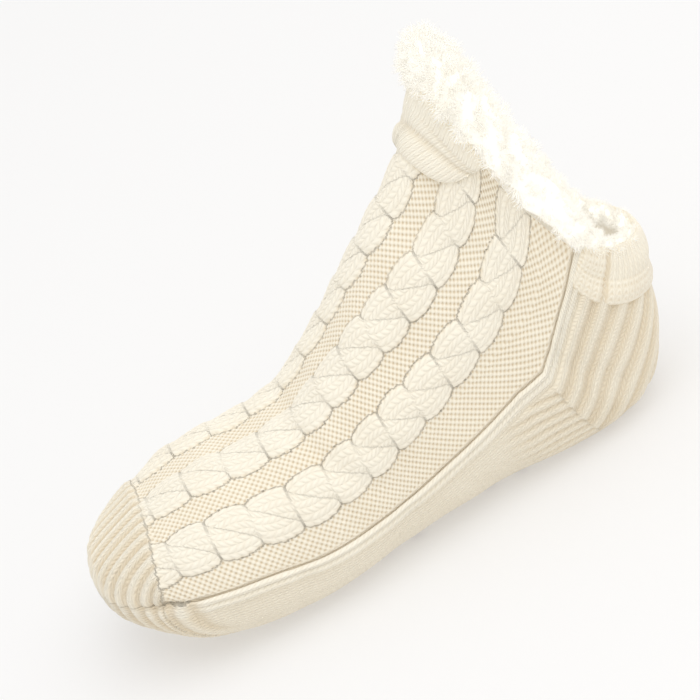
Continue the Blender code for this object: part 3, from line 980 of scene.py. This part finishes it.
def cuff_detail(along, share, off):
    """Fine ridges low on the cuff, rib ends high on it, and a crease at each side."""
    angle = math.radians(CUFF_FROM_DEGREES) + along * math.radians(CUFF_TO_DEGREES - CUFF_FROM_DEGREES)
    length = along * CUFF_LENGTH
    from_end = np.minimum(along, 1.0 - along)
    from_crease = np.minimum(np.abs(along - CUFF_CREASE), np.abs(1.0 - along - CUFF_CREASE))
    past_crease = ramp(from_end, CUFF_CREASE - 0.01, CUFF_CREASE + 0.01)
    low = np.maximum(ramp(share, 0.38, 0.5), 1.0 - past_crease)
    ridges = 0.5 + 0.5 * np.cos(2 * math.pi * (share - 0.5) * CUFF_RIDGES / 0.5)
    wales = 0.5 + 0.5 * np.cos(2 * math.pi * length / STITCH_WIDTH)
    crease = bell(from_crease, CUFF_CREASE_WIDTH)
    bump = (CUFF_RIDGE_HEIGHT * ridges * low + CUFF_WALE_HEIGHT * wales * (1.0 - low)) * off
    bump = bump - CUFF_CREASE_DEPTH * crease * off
    bump = bump + CUFF_LUMP * np.sin(7.0 * angle + 4.0 * share) * off
    # Painted shade in the valleys of the low ridges, over the rib ends and in the crease at each side.
    hollow = np.clip(0.55 * (1.0 - ridges) * low + 0.25 * (1 - low) + crease, 0.0, 1.0)
    wale = length / STITCH_WIDTH
    row = share * CUFF_DEPTH / STITCH_HEIGHT
    return bump, {"wale": wale, "row": row, "purl": 0.25 * low, "hollow": hollow, "warm": 0.2}


cuff_angles = np.linspace(math.radians(CUFF_FROM_DEGREES), math.radians(CUFF_TO_DEGREES), BAND_PLACES)
cuff_place = band_points(cuff_angles, CUFF_DEPTH, CUFF_THICKNESS, 0.35, 0.0, 2.5, cuff_detail)
heel_cuff_knit = place_grid("heel_cuff_knit", 60, 240, cuff_place)
weld(heel_cuff_knit)
print("heel_cuff_knit:", triangles(heel_cuff_knit), "triangles")

# %% The front hem
HEM_STITCH = 0.0024
HEM_WALE_HEIGHT = 0.00025
HEM_FOLD_DEPTH = 0.0010
HEM_FOLD_WIDTH = 0.07
HEM_SECOND_DEPTH = 0.0007
HEM_SECOND_WIDTH = 0.05


def hem_detail(along, share, off):
    """Soft folds and fine wales of the hem."""
    length = (along - 0.5) * HEM_WIDTH
    wales = 0.5 + 0.5 * np.cos(2 * math.pi * length / HEM_STITCH)
    fold = bell(share - 0.50 - 0.10 * np.sin(5.0 * along), HEM_FOLD_WIDTH)
    second = bell(share - 0.16 - 0.06 * np.cos(7.0 * along), HEM_SECOND_WIDTH)
    second = second * ramp(np.abs(along - 0.5), 0.05, 0.25)
    bump = (HEM_WALE_HEIGHT * wales - HEM_FOLD_DEPTH * fold - HEM_SECOND_DEPTH * second) * off
    # Painted shade in the grooves between the wales and in the two folds.
    hollow = np.clip(0.2 * (1 - wales) + 0.45 * fold + 0.35 * second, 0.0, 1.0)
    row = share * HEM_DEPTH / STITCH_HEIGHT
    return bump, {"wale": length / HEM_STITCH, "row": row, "purl": 0.0, "hollow": hollow, "warm": 0.1}


hem_half = HEM_WIDTH / 2
hem_angles = angle_at(np.full(BAND_PLACES, LAST_STATION), np.linspace(-hem_half, hem_half, BAND_PLACES))
hem_place = band_points(hem_angles, HEM_DEPTH, HEM_THICKNESS, 0.25, 0.25, 1.0, hem_detail)
front_hem_knit = place_grid("front_hem_knit", 60, 220, hem_place)
weld(front_hem_knit)
print("front_hem_knit:", triangles(front_hem_knit), "triangles")

# %% [markdown]
# ## Lining and plush
#
# Inside, the sock is lined with soft plush. At the collar the plush stands out of the sock as a thick
# fluffy edge, highest over the instep and almost gone at the heel. A ring gives it its body. On the ring
# stand tufts, each a few curved fibres from one root. They are placed by Geometry Nodes: a point for
# every tuft, with its own turn and size, and the instances are made real so they stay one plain mesh.

# %% The lining
LINING_STATION_MIN = 0.35
LINING_LUMP = 0.0006
LIP = 0.03


def lining_points(over, along):
    """Points of the inner wall: from the outer edge of the rim, over it, and down to the toe."""
    angle = (over * 2.0 - 1.0) * math.pi
    inwards = np.clip((along - LIP) / (1.0 - LIP), 0.0, 1.0)
    station = LAST_STATION - inwards * (LAST_STATION - LINING_STATION_MIN)
    depth = ramp(along, 0.0, LIP) * WALL
    lumps = LINING_LUMP * np.sin(61.0 * along + 7.0 * angle) * np.sin(23.0 * angle - 31.0 * along)
    lumps = lumps * ramp(along, 0.02, 0.08)
    return lifted(station, angle, lumps - depth), {"curl": 0.5 + 800.0 * lumps}


lining = place_grid("lining", 150, 150, lining_points)
weld(lining)
face_out(lining, sock_middle)
lining_mesh = bmesh.new()
lining_mesh.from_mesh(lining.data)
bmesh.ops.reverse_faces(lining_mesh, faces=lining_mesh.faces)
lining_mesh.to_mesh(lining.data)
lining_mesh.free()
print("lining:", triangles(lining), "triangles")

# %% The plush ring
FLEECE_HEIGHT = 0.022
FLEECE_WIDTH = 0.013
PLUSH_GAP = 0.0003
PLUSH_COLUMNS = ("way", "height", "width", "lean")
PLUSH_ROWS = (
    (0.00, 1.00, 0.95, 0.9),
    (0.20, 0.92, 1.00, 0.6),
    (0.45, 0.76, 1.00, 0.2),
    (0.62, 0.52, 0.85, 0.1),
    (0.76, 0.26, 0.60, 0.1),
    (1.00, 0.16, 0.45, 0.1),
)
PLUSH_BODY_SHARE = 0.80
PLUSH_WAYS = [row[0] for row in PLUSH_ROWS]


def plush_frame(angle):
    """Foot of the plush on the rim, its two directions, its height and its width."""
    place = np.interp(np.abs(angle) / math.pi, PLUSH_WAYS, range(len(PLUSH_WAYS)))
    height = read_table(PLUSH_ROWS, PLUSH_COLUMNS, "height", place) * FLEECE_HEIGHT
    width = read_table(PLUSH_ROWS, PLUSH_COLUMNS, "width", place) * FLEECE_WIDTH
    lean = read_table(PLUSH_ROWS, PLUSH_COLUMNS, "lean", place)
    rim = np.full(len(angle), LAST_STATION)
    up = out_of_rim(angle)
    straight = up + np.stack([np.zeros_like(lean), np.zeros_like(lean), lean], axis=1)
    straight /= np.linalg.norm(straight, axis=1, keepdims=True)
    foot = lifted(rim, angle, np.full(len(angle), -WALL / 2)) + up * PLUSH_GAP
    return foot, straight, outward(rim, angle), height, width


def plush_surface(angle, turn, body):
    """Point of the plush ring and its direction outwards."""
    foot, straight, out, height, width = plush_frame(angle)
    lump = 0.0012 * np.sin(19.0 * angle + 2.0 * turn) + 0.0008 * np.sin(31.0 * angle - 3.0 * turn)
    rise = height / 2 + (height / 2 + lump) * np.sin(turn) * body
    squared = np.where(np.sin(turn) < 0.0, 0.45, 1.0)
    spread = (width / 2 + lump) * np.sign(np.cos(turn)) * np.abs(np.cos(turn)) ** squared * body
    normal = straight * np.sin(turn)[:, None] + out * np.cos(turn)[:, None]
    return foot + straight * rise[:, None] + out * spread[:, None], normal


def plush_ring_points(over, along):
    points, _ = plush_surface((along * 2.0 - 1.0) * math.pi, over * 2.0 * math.pi, PLUSH_BODY_SHARE)
    return points, {"curl": 0.5}


plush_ring = place_grid("plush_ring", 28, 240, plush_ring_points)
weld(plush_ring)
print("plush_ring:", triangles(plush_ring), "triangles")

# %% One tuft
TUFT_KINDS = 3
TUFT_FIBRES = 7
TUFT_RINGS = 3


def make_tuft(name):
    """Seven curved, tapering fibres that fan out of one root, a unit high along Z."""
    build = bmesh.new()
    for fibre in range(TUFT_FIBRES):
        turn = 2 * math.pi * fibre / TUFT_FIBRES + random.uniform(-0.3, 0.3)
        fan = 0.0 if fibre == 0 else random.uniform(0.25, 0.5)
        curl = random.uniform(0.15, 0.5)
        thick = random.uniform(0.045, 0.07)
        made = bmesh.ops.create_cone(build, segments=3, radius1=1.0, radius2=0.25, depth=1.0, cap_ends=False)
        edges = {edge for vertex in made["verts"] for edge in vertex.link_edges}
        upright = [edge for edge in edges if abs(edge.verts[0].co.z - edge.verts[1].co.z) > 0.5]
        bmesh.ops.subdivide_edges(build, edges=upright, cuts=TUFT_RINGS - 1)
        for vertex in [vertex for vertex in build.verts if not vertex.tag]:
            rise = vertex.co.z + 0.5
            lean = fan * rise + curl * rise**2 * 0.5
            side = Vector((vertex.co.x, vertex.co.y, 0.0)) * thick
            tall = rise - 0.25 * curl * rise**3
            vertex.co = side + Vector((math.cos(turn) * lean, math.sin(turn) * lean, tall))
            vertex.tag = True
    bmesh.ops.recalc_face_normals(build, faces=build.faces)
    mesh = mesh_of(name, build)
    mesh.shade_smooth()
    return add_object(name, mesh)


tuft_kinds = [make_tuft(f"tuft_kind_{index}") for index in range(TUFT_KINDS)]
print("one tuft:", triangles(tuft_kinds[0]), "triangles")

# %% Plant tufts with Geometry Nodes


def planting_group(kind):
    """Geometry Nodes that put a tuft on every point, turned and sized by the point's own attributes."""
    group = bpy.data.node_groups.new("plant_" + kind.name, "GeometryNodeTree")
    group.interface.new_socket("Geometry", in_out="INPUT", socket_type="NodeSocketGeometry")
    group.interface.new_socket("Geometry", in_out="OUTPUT", socket_type="NodeSocketGeometry")
    nodes = group.nodes
    entry = nodes.new("NodeGroupInput")
    leave = nodes.new("NodeGroupOutput")
    source = nodes.new("GeometryNodeObjectInfo")
    source.inputs["Object"].default_value = kind
    planted = nodes.new("GeometryNodeInstanceOnPoints")
    real = nodes.new("GeometryNodeRealizeInstances")
    for name, socket in (("turn", "Rotation"), ("size", "Scale")):
        reader = nodes.new("GeometryNodeInputNamedAttribute")
        reader.data_type = "FLOAT_VECTOR"
        reader.inputs["Name"].default_value = name
        group.links.new(reader.outputs["Attribute"], planted.inputs[socket])
    group.links.new(entry.outputs[0], planted.inputs["Points"])
    group.links.new(source.outputs["Geometry"], planted.inputs["Instance"])
    group.links.new(planted.outputs["Instances"], real.inputs["Geometry"])
    group.links.new(real.outputs["Geometry"], leave.inputs[0])
    return group


def plant(name, kind, places, directions, heights, widths):
    """One mesh of tufts at places, each leaning along its direction."""
    seeds = bpy.data.meshes.new(name + "_seeds")
    seeds.vertices.add(len(places))
    seeds.vertices.foreach_set("co", np.asarray(places, np.float32).ravel())
    turns = []
    for direction, spin in zip(directions, random.uniform(0.0, 2 * math.pi, len(places))):
        stand = Vector(direction).to_track_quat("Z", "Y") @ Matrix.Rotation(spin, 3, "Z").to_quaternion()
        turns.append(stand.to_euler())
    sizes = np.stack([widths, widths, heights], axis=1)
    for title, values in (("turn", turns), ("size", sizes)):
        layer = seeds.attributes.new(title, "FLOAT_VECTOR", "POINT")
        layer.data.foreach_set("vector", np.array(values, np.float32).ravel())
    holder = add_object(name + "_holder", seeds)
    holder.modifiers.new("plant", "NODES").node_group = planting_group(kind)
    graph = bpy.context.evaluated_depsgraph_get()
    mesh = bpy.data.meshes.new_from_object(holder.evaluated_get(graph))
    mesh.name = name
    bpy.data.objects.remove(holder, do_unlink=True)
    return add_object(name, mesh)


TUFTS_PER_KIND = 1000
TUFT_HEIGHTS = (0.0036, 0.0062)
TUFT_WIDTH_SHARE = 0.92


def plush_tufts(kind_index):
    """Tufts all over the plush ring, combed a little upwards, and gathered in locks."""
    angle = random.uniform(-math.pi, math.pi, TUFTS_PER_KIND)
    turn = random.uniform(-0.42 * math.pi, 1.30 * math.pi, TUFTS_PER_KIND)
    places, normals = plush_surface(angle, turn, PLUSH_BODY_SHARE * 0.97)
    _, straight, _, height, _ = plush_frame(angle)
    comb = [np.sin(23.0 * angle + 3.0 * turn), np.cos(17.0 * angle), 0.6 * np.sin(29.0 * angle)]
    directions = normals + 0.35 * straight + 0.45 * np.stack(comb, axis=1)
    directions = directions + random.normal(0.0, 0.18, (TUFTS_PER_KIND, 3))
    share = 0.35 + 0.65 * np.clip(height / FLEECE_HEIGHT, 0.0, 1.0)
    heights = random.uniform(*TUFT_HEIGHTS, TUFTS_PER_KIND) * share
    widths = heights * TUFT_WIDTH_SHARE
    return plant(f"plush_tufts_{kind_index}", tuft_kinds[kind_index], places, directions, heights, widths)


tufts = [plush_tufts(index) for index in range(TUFT_KINDS)]
for kind in tuft_kinds:
    bpy.data.objects.remove(kind, do_unlink=True)
for piece in tufts:
    print(piece.name + ":", triangles(piece), "triangles")

# %% [markdown]
# ## Grip dots
#
# Rows of small rubber dots under the sole keep the sock from slipping. Each is a flat dome a little
# under a millimetre high, set on the knit and turned to its slope, in a staggered pattern.

# %% Set the grip dots
GRIP_RADIUS = 0.0025
GRIP_PITCH = 0.014
GRIP_REACH_X = (-0.098, 0.102)
GRIP_REACH_Y = (-0.042, 0.043)
GRIP_LIFT = 0.0004
GRIP_SPOT_MISS = 0.002


def make_grip_dots():
    """One mesh of flat domes under the sole, where the knit looks down."""
    build = bmesh.new()
    count = 0
    for row, x in enumerate(np.arange(*GRIP_REACH_X, GRIP_PITCH / 2)):
        for y in np.arange(*GRIP_REACH_Y, GRIP_PITCH) + (GRIP_PITCH / 2 if row % 2 else 0.0):
            spot = sole_spot(x, y)
            if spot is None:
                continue
            place, normal = spot
            made = bmesh.ops.create_uvsphere(build, u_segments=14, v_segments=8, radius=1.0)
            turn = normal.to_track_quat("Z", "Y").to_matrix().to_4x4()
            size = Matrix.Diagonal((GRIP_RADIUS, GRIP_RADIUS, GRIP_HEIGHT, 1.0))
            bmesh.ops.transform(build, matrix=Matrix.Translation(place) @ turn @ size, verts=made["verts"])
            count += 1
    for vertex in build.verts:
        vertex.co.z = max(vertex.co.z, 0.0)
    mesh = mesh_of("grip_dots", build)
    mesh.shade_smooth()
    return add_object("grip_dots", mesh), count


SOLE_TRY_STATIONS = np.linspace(0.5, 9.0, 341)
SOLE_TRY_ANGLES = math.pi + np.linspace(-1.25, 1.25, 161)
SOLE_TRY_GRID = np.meshgrid(SOLE_TRY_STATIONS, SOLE_TRY_ANGLES, indexing="ij")
SOLE_TRY = skin(*SOLE_TRY_GRID)
SOLE_TRY_OUT = outward(*SOLE_TRY_GRID)
GRIP_LOOKS_DOWN = -0.96


def sole_spot(x, y):
    """Place on the sole next to x and y and the direction out of it, or None where it doesn't look down."""
    far = np.hypot(SOLE_TRY[..., 0] - x, SOLE_TRY[..., 1] - y)
    nearest = np.unravel_index(np.argmin(far), far.shape)
    normal = SOLE_TRY_OUT[nearest]
    if far[nearest] > GRIP_SPOT_MISS or normal[2] > GRIP_LOOKS_DOWN:
        return None
    place = SOLE_TRY[nearest] + normal * GRIP_LIFT
    return Vector((place[0], place[1], max(place[2], GRIP_HEIGHT))), Vector(normal)


grip_dots, dots = make_grip_dots()
print("grip_dots:", dots, "dots,", triangles(grip_dots), "triangles")

# %% [markdown]
# ## Yarn, plush and rubber
#
# The yarn is a matt cream wool mix. Under a soft light its shape shows by shade, so the stitches are
# drawn once more as a bump, with almost the same V and purl formulas in shader nodes. They are fed by
# each point's wale and row, and the V's loops are cut deeper than in the mesh.
# A twist group adds the plies of the yarn and slow changes of colour. Hollows, the low parts of the
# stitches and the purl get a painted warm shade, standing for shade and for light that bounces from
# yarn to yarn, and a faint painted glow adds that bounced light. An image texture could do this, but it
# would have to be drawn first, and formulas stay sharp in every view.

# %% Helpers for shader groups
BUMP_LOOP_DEPTH = 0.75


def open_group(name, inputs, outputs):
    """New shader group with named float inputs and outputs, and its two end nodes."""
    group = bpy.data.node_groups.new(name, "ShaderNodeTree")
    for title, value in inputs:
        socket = group.interface.new_socket(title, in_out="INPUT", socket_type="NodeSocketFloat")
        socket.default_value = value
    for title in outputs:
        group.interface.new_socket(title, in_out="OUTPUT", socket_type="NodeSocketFloat")
    return group, group.nodes.new("NodeGroupInput"), group.nodes.new("NodeGroupOutput")


def work(tree, operation, *values):
    """Math node on sockets or plain numbers, and gives its result."""
    node = tree.nodes.new("ShaderNodeMath")
    node.operation = operation
    for socket, value in zip(node.inputs, values):
        if isinstance(value, bpy.types.NodeSocket):
            tree.links.new(value, socket)
        else:
            socket.default_value = value
    return node.outputs[0]


def noise(tree, scale, detail, stretch=(1.0, 1.0, 1.0)):
    """Noise on object coordinates, centred on 0.5."""
    coordinates = tree.nodes.new("ShaderNodeTexCoord")
    mapping = tree.nodes.new("ShaderNodeMapping")
    mapping.inputs["Scale"].default_value = stretch
    pattern = tree.nodes.new("ShaderNodeTexNoise")
    pattern.inputs["Scale"].default_value = scale
    pattern.inputs["Detail"].default_value = detail
    tree.links.new(coordinates.outputs["Object"], mapping.inputs["Vector"])
    tree.links.new(mapping.outputs["Vector"], pattern.inputs["Vector"])
    return pattern.outputs["Fac"]


# %% The stitch group
def make_stitch_group():
    """Heights of knit and purl stitches from a wale and a row, as in knit_height with deeper loops."""
    group, entry, leave = open_group("stitch_field", [("Wale", 0.0), ("Row", 0.0)], ["Knit", "Purl"])
    wale, row = entry.outputs["Wale"], entry.outputs["Row"]
    side = work(group, "SUBTRACT", work(group, "MULTIPLY", work(group, "FRACT", wale), 2.0), 1.0)
    off_spine = work(group, "ABSOLUTE", side)
    leg = work(group, "SQRT", work(group, "SINE", work(group, "MULTIPLY", off_spine, math.pi)))
    slanted = work(group, "SUBTRACT", row, work(group, "MULTIPLY", off_spine, LEG_SLANT))
    loop = work(group, "SUBTRACT", work(group, "MULTIPLY", work(group, "FRACT", slanted), 2.0), 1.0)
    deep = work(group, "MULTIPLY", work(group, "MULTIPLY", loop, loop), BUMP_LOOP_DEPTH)
    round_loop = work(group, "SUBTRACT", 1.0, deep)
    group.links.new(work(group, "MULTIPLY", leg, round_loop), leave.inputs["Knit"])
    across = work(group, "COSINE", work(group, "MULTIPLY", wale, 2 * math.pi))
    up = work(group, "COSINE", work(group, "MULTIPLY", row, 2 * math.pi))
    pits = work(group, "MULTIPLY_ADD", work(group, "MULTIPLY", across, up), -0.5, 0.5)
    group.links.new(work(group, "SUBTRACT", 1.0, work(group, "POWER", pits, PIT_POWER)), leave.inputs["Purl"])
    return group


stitch_group = make_stitch_group()
print("stitch_field:", len(stitch_group.nodes), "nodes")

# %% The twist group
def make_twist_group():
    """Fuzz and plies of a soft yarn as a height, and slow changes of its tone."""
    group, entry, leave = open_group("yarn_twist", [("Fuzz", 1.0)], ["Height", "Tone"])
    plies = noise(group, 1500.0, 3.0)
    strands = noise(group, 420.0, 2.0, (1.0, 1.0, 2.2))
    both = work(group, "ADD", work(group, "MULTIPLY", plies, 0.6), work(group, "MULTIPLY", strands, 0.8))
    group.links.new(work(group, "MULTIPLY", both, entry.outputs["Fuzz"]), leave.inputs["Height"])
    slow = work(group, "MULTIPLY", noise(group, 60.0, 3.0), 0.6)
    group.links.new(work(group, "ADD", slow, work(group, "MULTIPLY", strands, 0.4)), leave.inputs["Tone"])
    return group


twist_group = make_twist_group()
print("yarn_twist:", len(twist_group.nodes), "nodes")

# %% The yarn material


def attribute(tree, name):
    node = tree.nodes.new("ShaderNodeAttribute")
    node.attribute_type = "GEOMETRY"
    node.attribute_name = name
    return node.outputs["Fac"]


def mix_colour(tree, share, first, second):
    """Mix of two colours, each a socket or a plain colour."""
    node = tree.nodes.new("ShaderNodeMix")
    node.data_type = "RGBA"
    tree.links.new(share, node.inputs["Factor"])
    for socket, value in ((node.inputs[6], first), (node.inputs[7], second)):
        if isinstance(value, bpy.types.NodeSocket):
            tree.links.new(value, socket)
        else:
            socket.default_value = value
    return node.outputs[2]


def use_group(tree, group, **values):
    node = tree.nodes.new("ShaderNodeGroup")
    node.node_tree = group
    for name, value in values.items():
        if isinstance(value, bpy.types.NodeSocket):
            tree.links.new(value, node.inputs[name])
        else:
            node.inputs[name].default_value = value
    return node


def clamped(tree, value):
    """Value held between 0 and 1."""
    node = tree.nodes.new("ShaderNodeClamp")
    tree.links.new(value, node.inputs["Value"])
    return node.outputs["Result"]


def add_bump(tree, shader, height, strength, distance):
    """Lets a height bend the shader's normal."""
    bump = tree.nodes.new("ShaderNodeBump")
    bump.inputs["Strength"].default_value = strength
    bump.inputs["Distance"].default_value = distance
    tree.links.new(height, bump.inputs["Height"])
    tree.links.new(bump.outputs["Normal"], shader.inputs["Normal"])


CREST = (0.845, 0.80, 0.69, 1.0)
BAND_CREST = (0.89, 0.85, 0.74, 1.0)
# Colour of the painted shade in hollows and in the low parts of stitches.
HOLLOW_SHADE = (0.62, 0.50, 0.33, 1.0)
# Painted warm shade of the purl, whose bumps and pits shade each other.
PURL_SHADE_TONE = (0.86, 0.80, 0.67, 1.0)
# Colour of the warm tint. On the sole and towards the floor it is painted warm shade.
TINT_AND_SHADE_TONE = (0.82, 0.76, 0.625, 1.0)
YARN_FINISH_AND_GLOW = {
    "Roughness": 0.92,
    "Specular IOR Level": 0.25,
    "Sheen Weight": 0.25,
    "Sheen Roughness": 0.6,
    # Painted light: the warm emission is a glow that stands for light passed from yarn to yarn.
    "Emission Color": (1.0, 0.84, 0.58, 1.0),
    "Emission Strength": 0.075,
}
YARN_BUMP = 0.8
YARN_BUMP_DEPTH = 0.00045
BAND_BUMP_DEPTH = 0.00035


def yarn_material(name, crest, stitch_depth):
    """Matt knitted yarn that reads wale, row, purl, hollow and warm from the piece, and paints shade into its
    colour.
    """
    made, tree, shader = new_finish(name, YARN_FINISH_AND_GLOW)
    stitches = use_group(tree, stitch_group, Wale=attribute(tree, "wale"), Row=attribute(tree, "row"))
    twist = use_group(tree, twist_group, Fuzz=1.0)
    purl = attribute(tree, "purl")
    knit_part = work(tree, "MULTIPLY", stitches.outputs["Knit"], work(tree, "SUBTRACT", 1.0, purl))
    height = work(tree, "MULTIPLY_ADD", stitches.outputs["Purl"], purl, knit_part)
    # Painted shade: the low parts of each stitch, more so on the purl, and the hollow look darken the colour
    # towards HOLLOW_SHADE.
    shade = work(tree, "MULTIPLY_ADD", purl, 0.75, 0.16)
    low = work(tree, "MULTIPLY", work(tree, "SUBTRACT", 1.0, height), shade)
    depth = work(tree, "MULTIPLY_ADD", attribute(tree, "hollow"), 0.5, low)
    toned = work(tree, "MULTIPLY_ADD", twist.outputs["Tone"], 0.5, -0.25)
    depth = clamped(tree, work(tree, "ADD", depth, toned))
    # The purl gets a painted warm shade, then the warm tint look mixes in the tint and shade tone.
    base = mix_colour(tree, work(tree, "MULTIPLY", purl, 0.5), crest, PURL_SHADE_TONE)
    base = mix_colour(tree, work(tree, "MULTIPLY", attribute(tree, "warm"), 0.8), base, TINT_AND_SHADE_TONE)
    tree.links.new(mix_colour(tree, depth, base, HOLLOW_SHADE), shader.inputs["Base Color"])
    full = work(tree, "MULTIPLY_ADD", twist.outputs["Height"], 0.35, height)
    add_bump(tree, shader, full, YARN_BUMP, stitch_depth)
    return made


cream_yarn = yarn_material("cream_yarn", CREST, YARN_BUMP_DEPTH)
band_yarn = yarn_material("band_yarn", BAND_CREST, BAND_BUMP_DEPTH)
print("materials so far:", [thing.name for thing in bpy.data.materials])

# %% Plush and rubber
PILE_GLOW_TONE = (1.0, 0.975, 0.92, 1.0)
PILE_BUMP = 0.7
PILE_BUMP_DEPTH = 0.0006
RUBBER_DARK = (0.26, 0.18, 0.12, 1.0)
RUBBER_DUSTY = (0.42, 0.32, 0.23, 1.0)


def plush_material(name, tone, shade, glow):
    """Soft white pile with faint cream shadows. A little glow stands for light that fibres pass on."""
    values = {"Roughness": 1.0, "Specular IOR Level": 0.15}
    values.update({"Emission Color": PILE_GLOW_TONE, "Emission Strength": glow})
    made, tree, shader = new_finish(name, values)
    curls = noise(tree, 900.0, 3.0)
    slow = noise(tree, 130.0, 2.0)
    share = work(tree, "MULTIPLY_ADD", curls, 0.7, work(tree, "MULTIPLY_ADD", slow, 0.8, -0.45))
    tree.links.new(mix_colour(tree, clamped(tree, share), tone, shade), shader.inputs["Base Color"])
    add_bump(tree, shader, curls, PILE_BUMP, PILE_BUMP_DEPTH)
    return made


def rubber_material(name):
    """Dull brown rubber with a little dust in its colour."""
    made, tree, shader = new_finish(name, {})
    dust = noise(tree, 700.0, 2.0)
    tree.links.new(mix_colour(tree, dust, RUBBER_DARK, RUBBER_DUSTY), shader.inputs["Base Color"])
    tree.links.new(work(tree, "MULTIPLY_ADD", dust, 0.3, 0.4), shader.inputs["Roughness"])
    return made


plush_pile = plush_material("plush_pile", (0.97, 0.955, 0.91, 1.0), (0.92, 0.885, 0.80, 1.0), 0.19)
lining_pile = plush_material("lining_pile", (0.94, 0.91, 0.84, 1.0), (0.86, 0.81, 0.71, 1.0), 0.12)
grip_rubber = rubber_material("grip_rubber")

# %% [markdown]
# ## Dress the frame
#
# Each piece gets its material, moves with the one body of the sock, and takes the place of the plain
# solid it stands for.

# %% Put everything on the body


def dress(piece, material, slot, *nodes):
    """Gives a piece its material, its body and the plain solids that it replaces. The slot is not used."""
    piece.data.materials.clear()
    piece.data.materials.append(material)
    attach(piece, "root")
    if nodes:
        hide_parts(*nodes)


for piece in (instep_knit, sole_knit, toe_knit):
    dress(piece, cream_yarn, "knit", "knit_body")
dress(lining, lining_pile, "plush", "knit_body")
dress(heel_cuff_knit, band_yarn, "knit", "heel_cuff")
dress(front_hem_knit, band_yarn, "knit", "front_hem")
for piece in [plush_ring, *tufts]:
    dress(piece, plush_pile, "plush", "fleece_collar")
dress(grip_dots, grip_rubber, "knit")
meshes = [thing for thing in bpy.data.objects if thing.type == "MESH" and thing.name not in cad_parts]
print("triangles in all:", sum(triangles(thing) for thing in meshes))
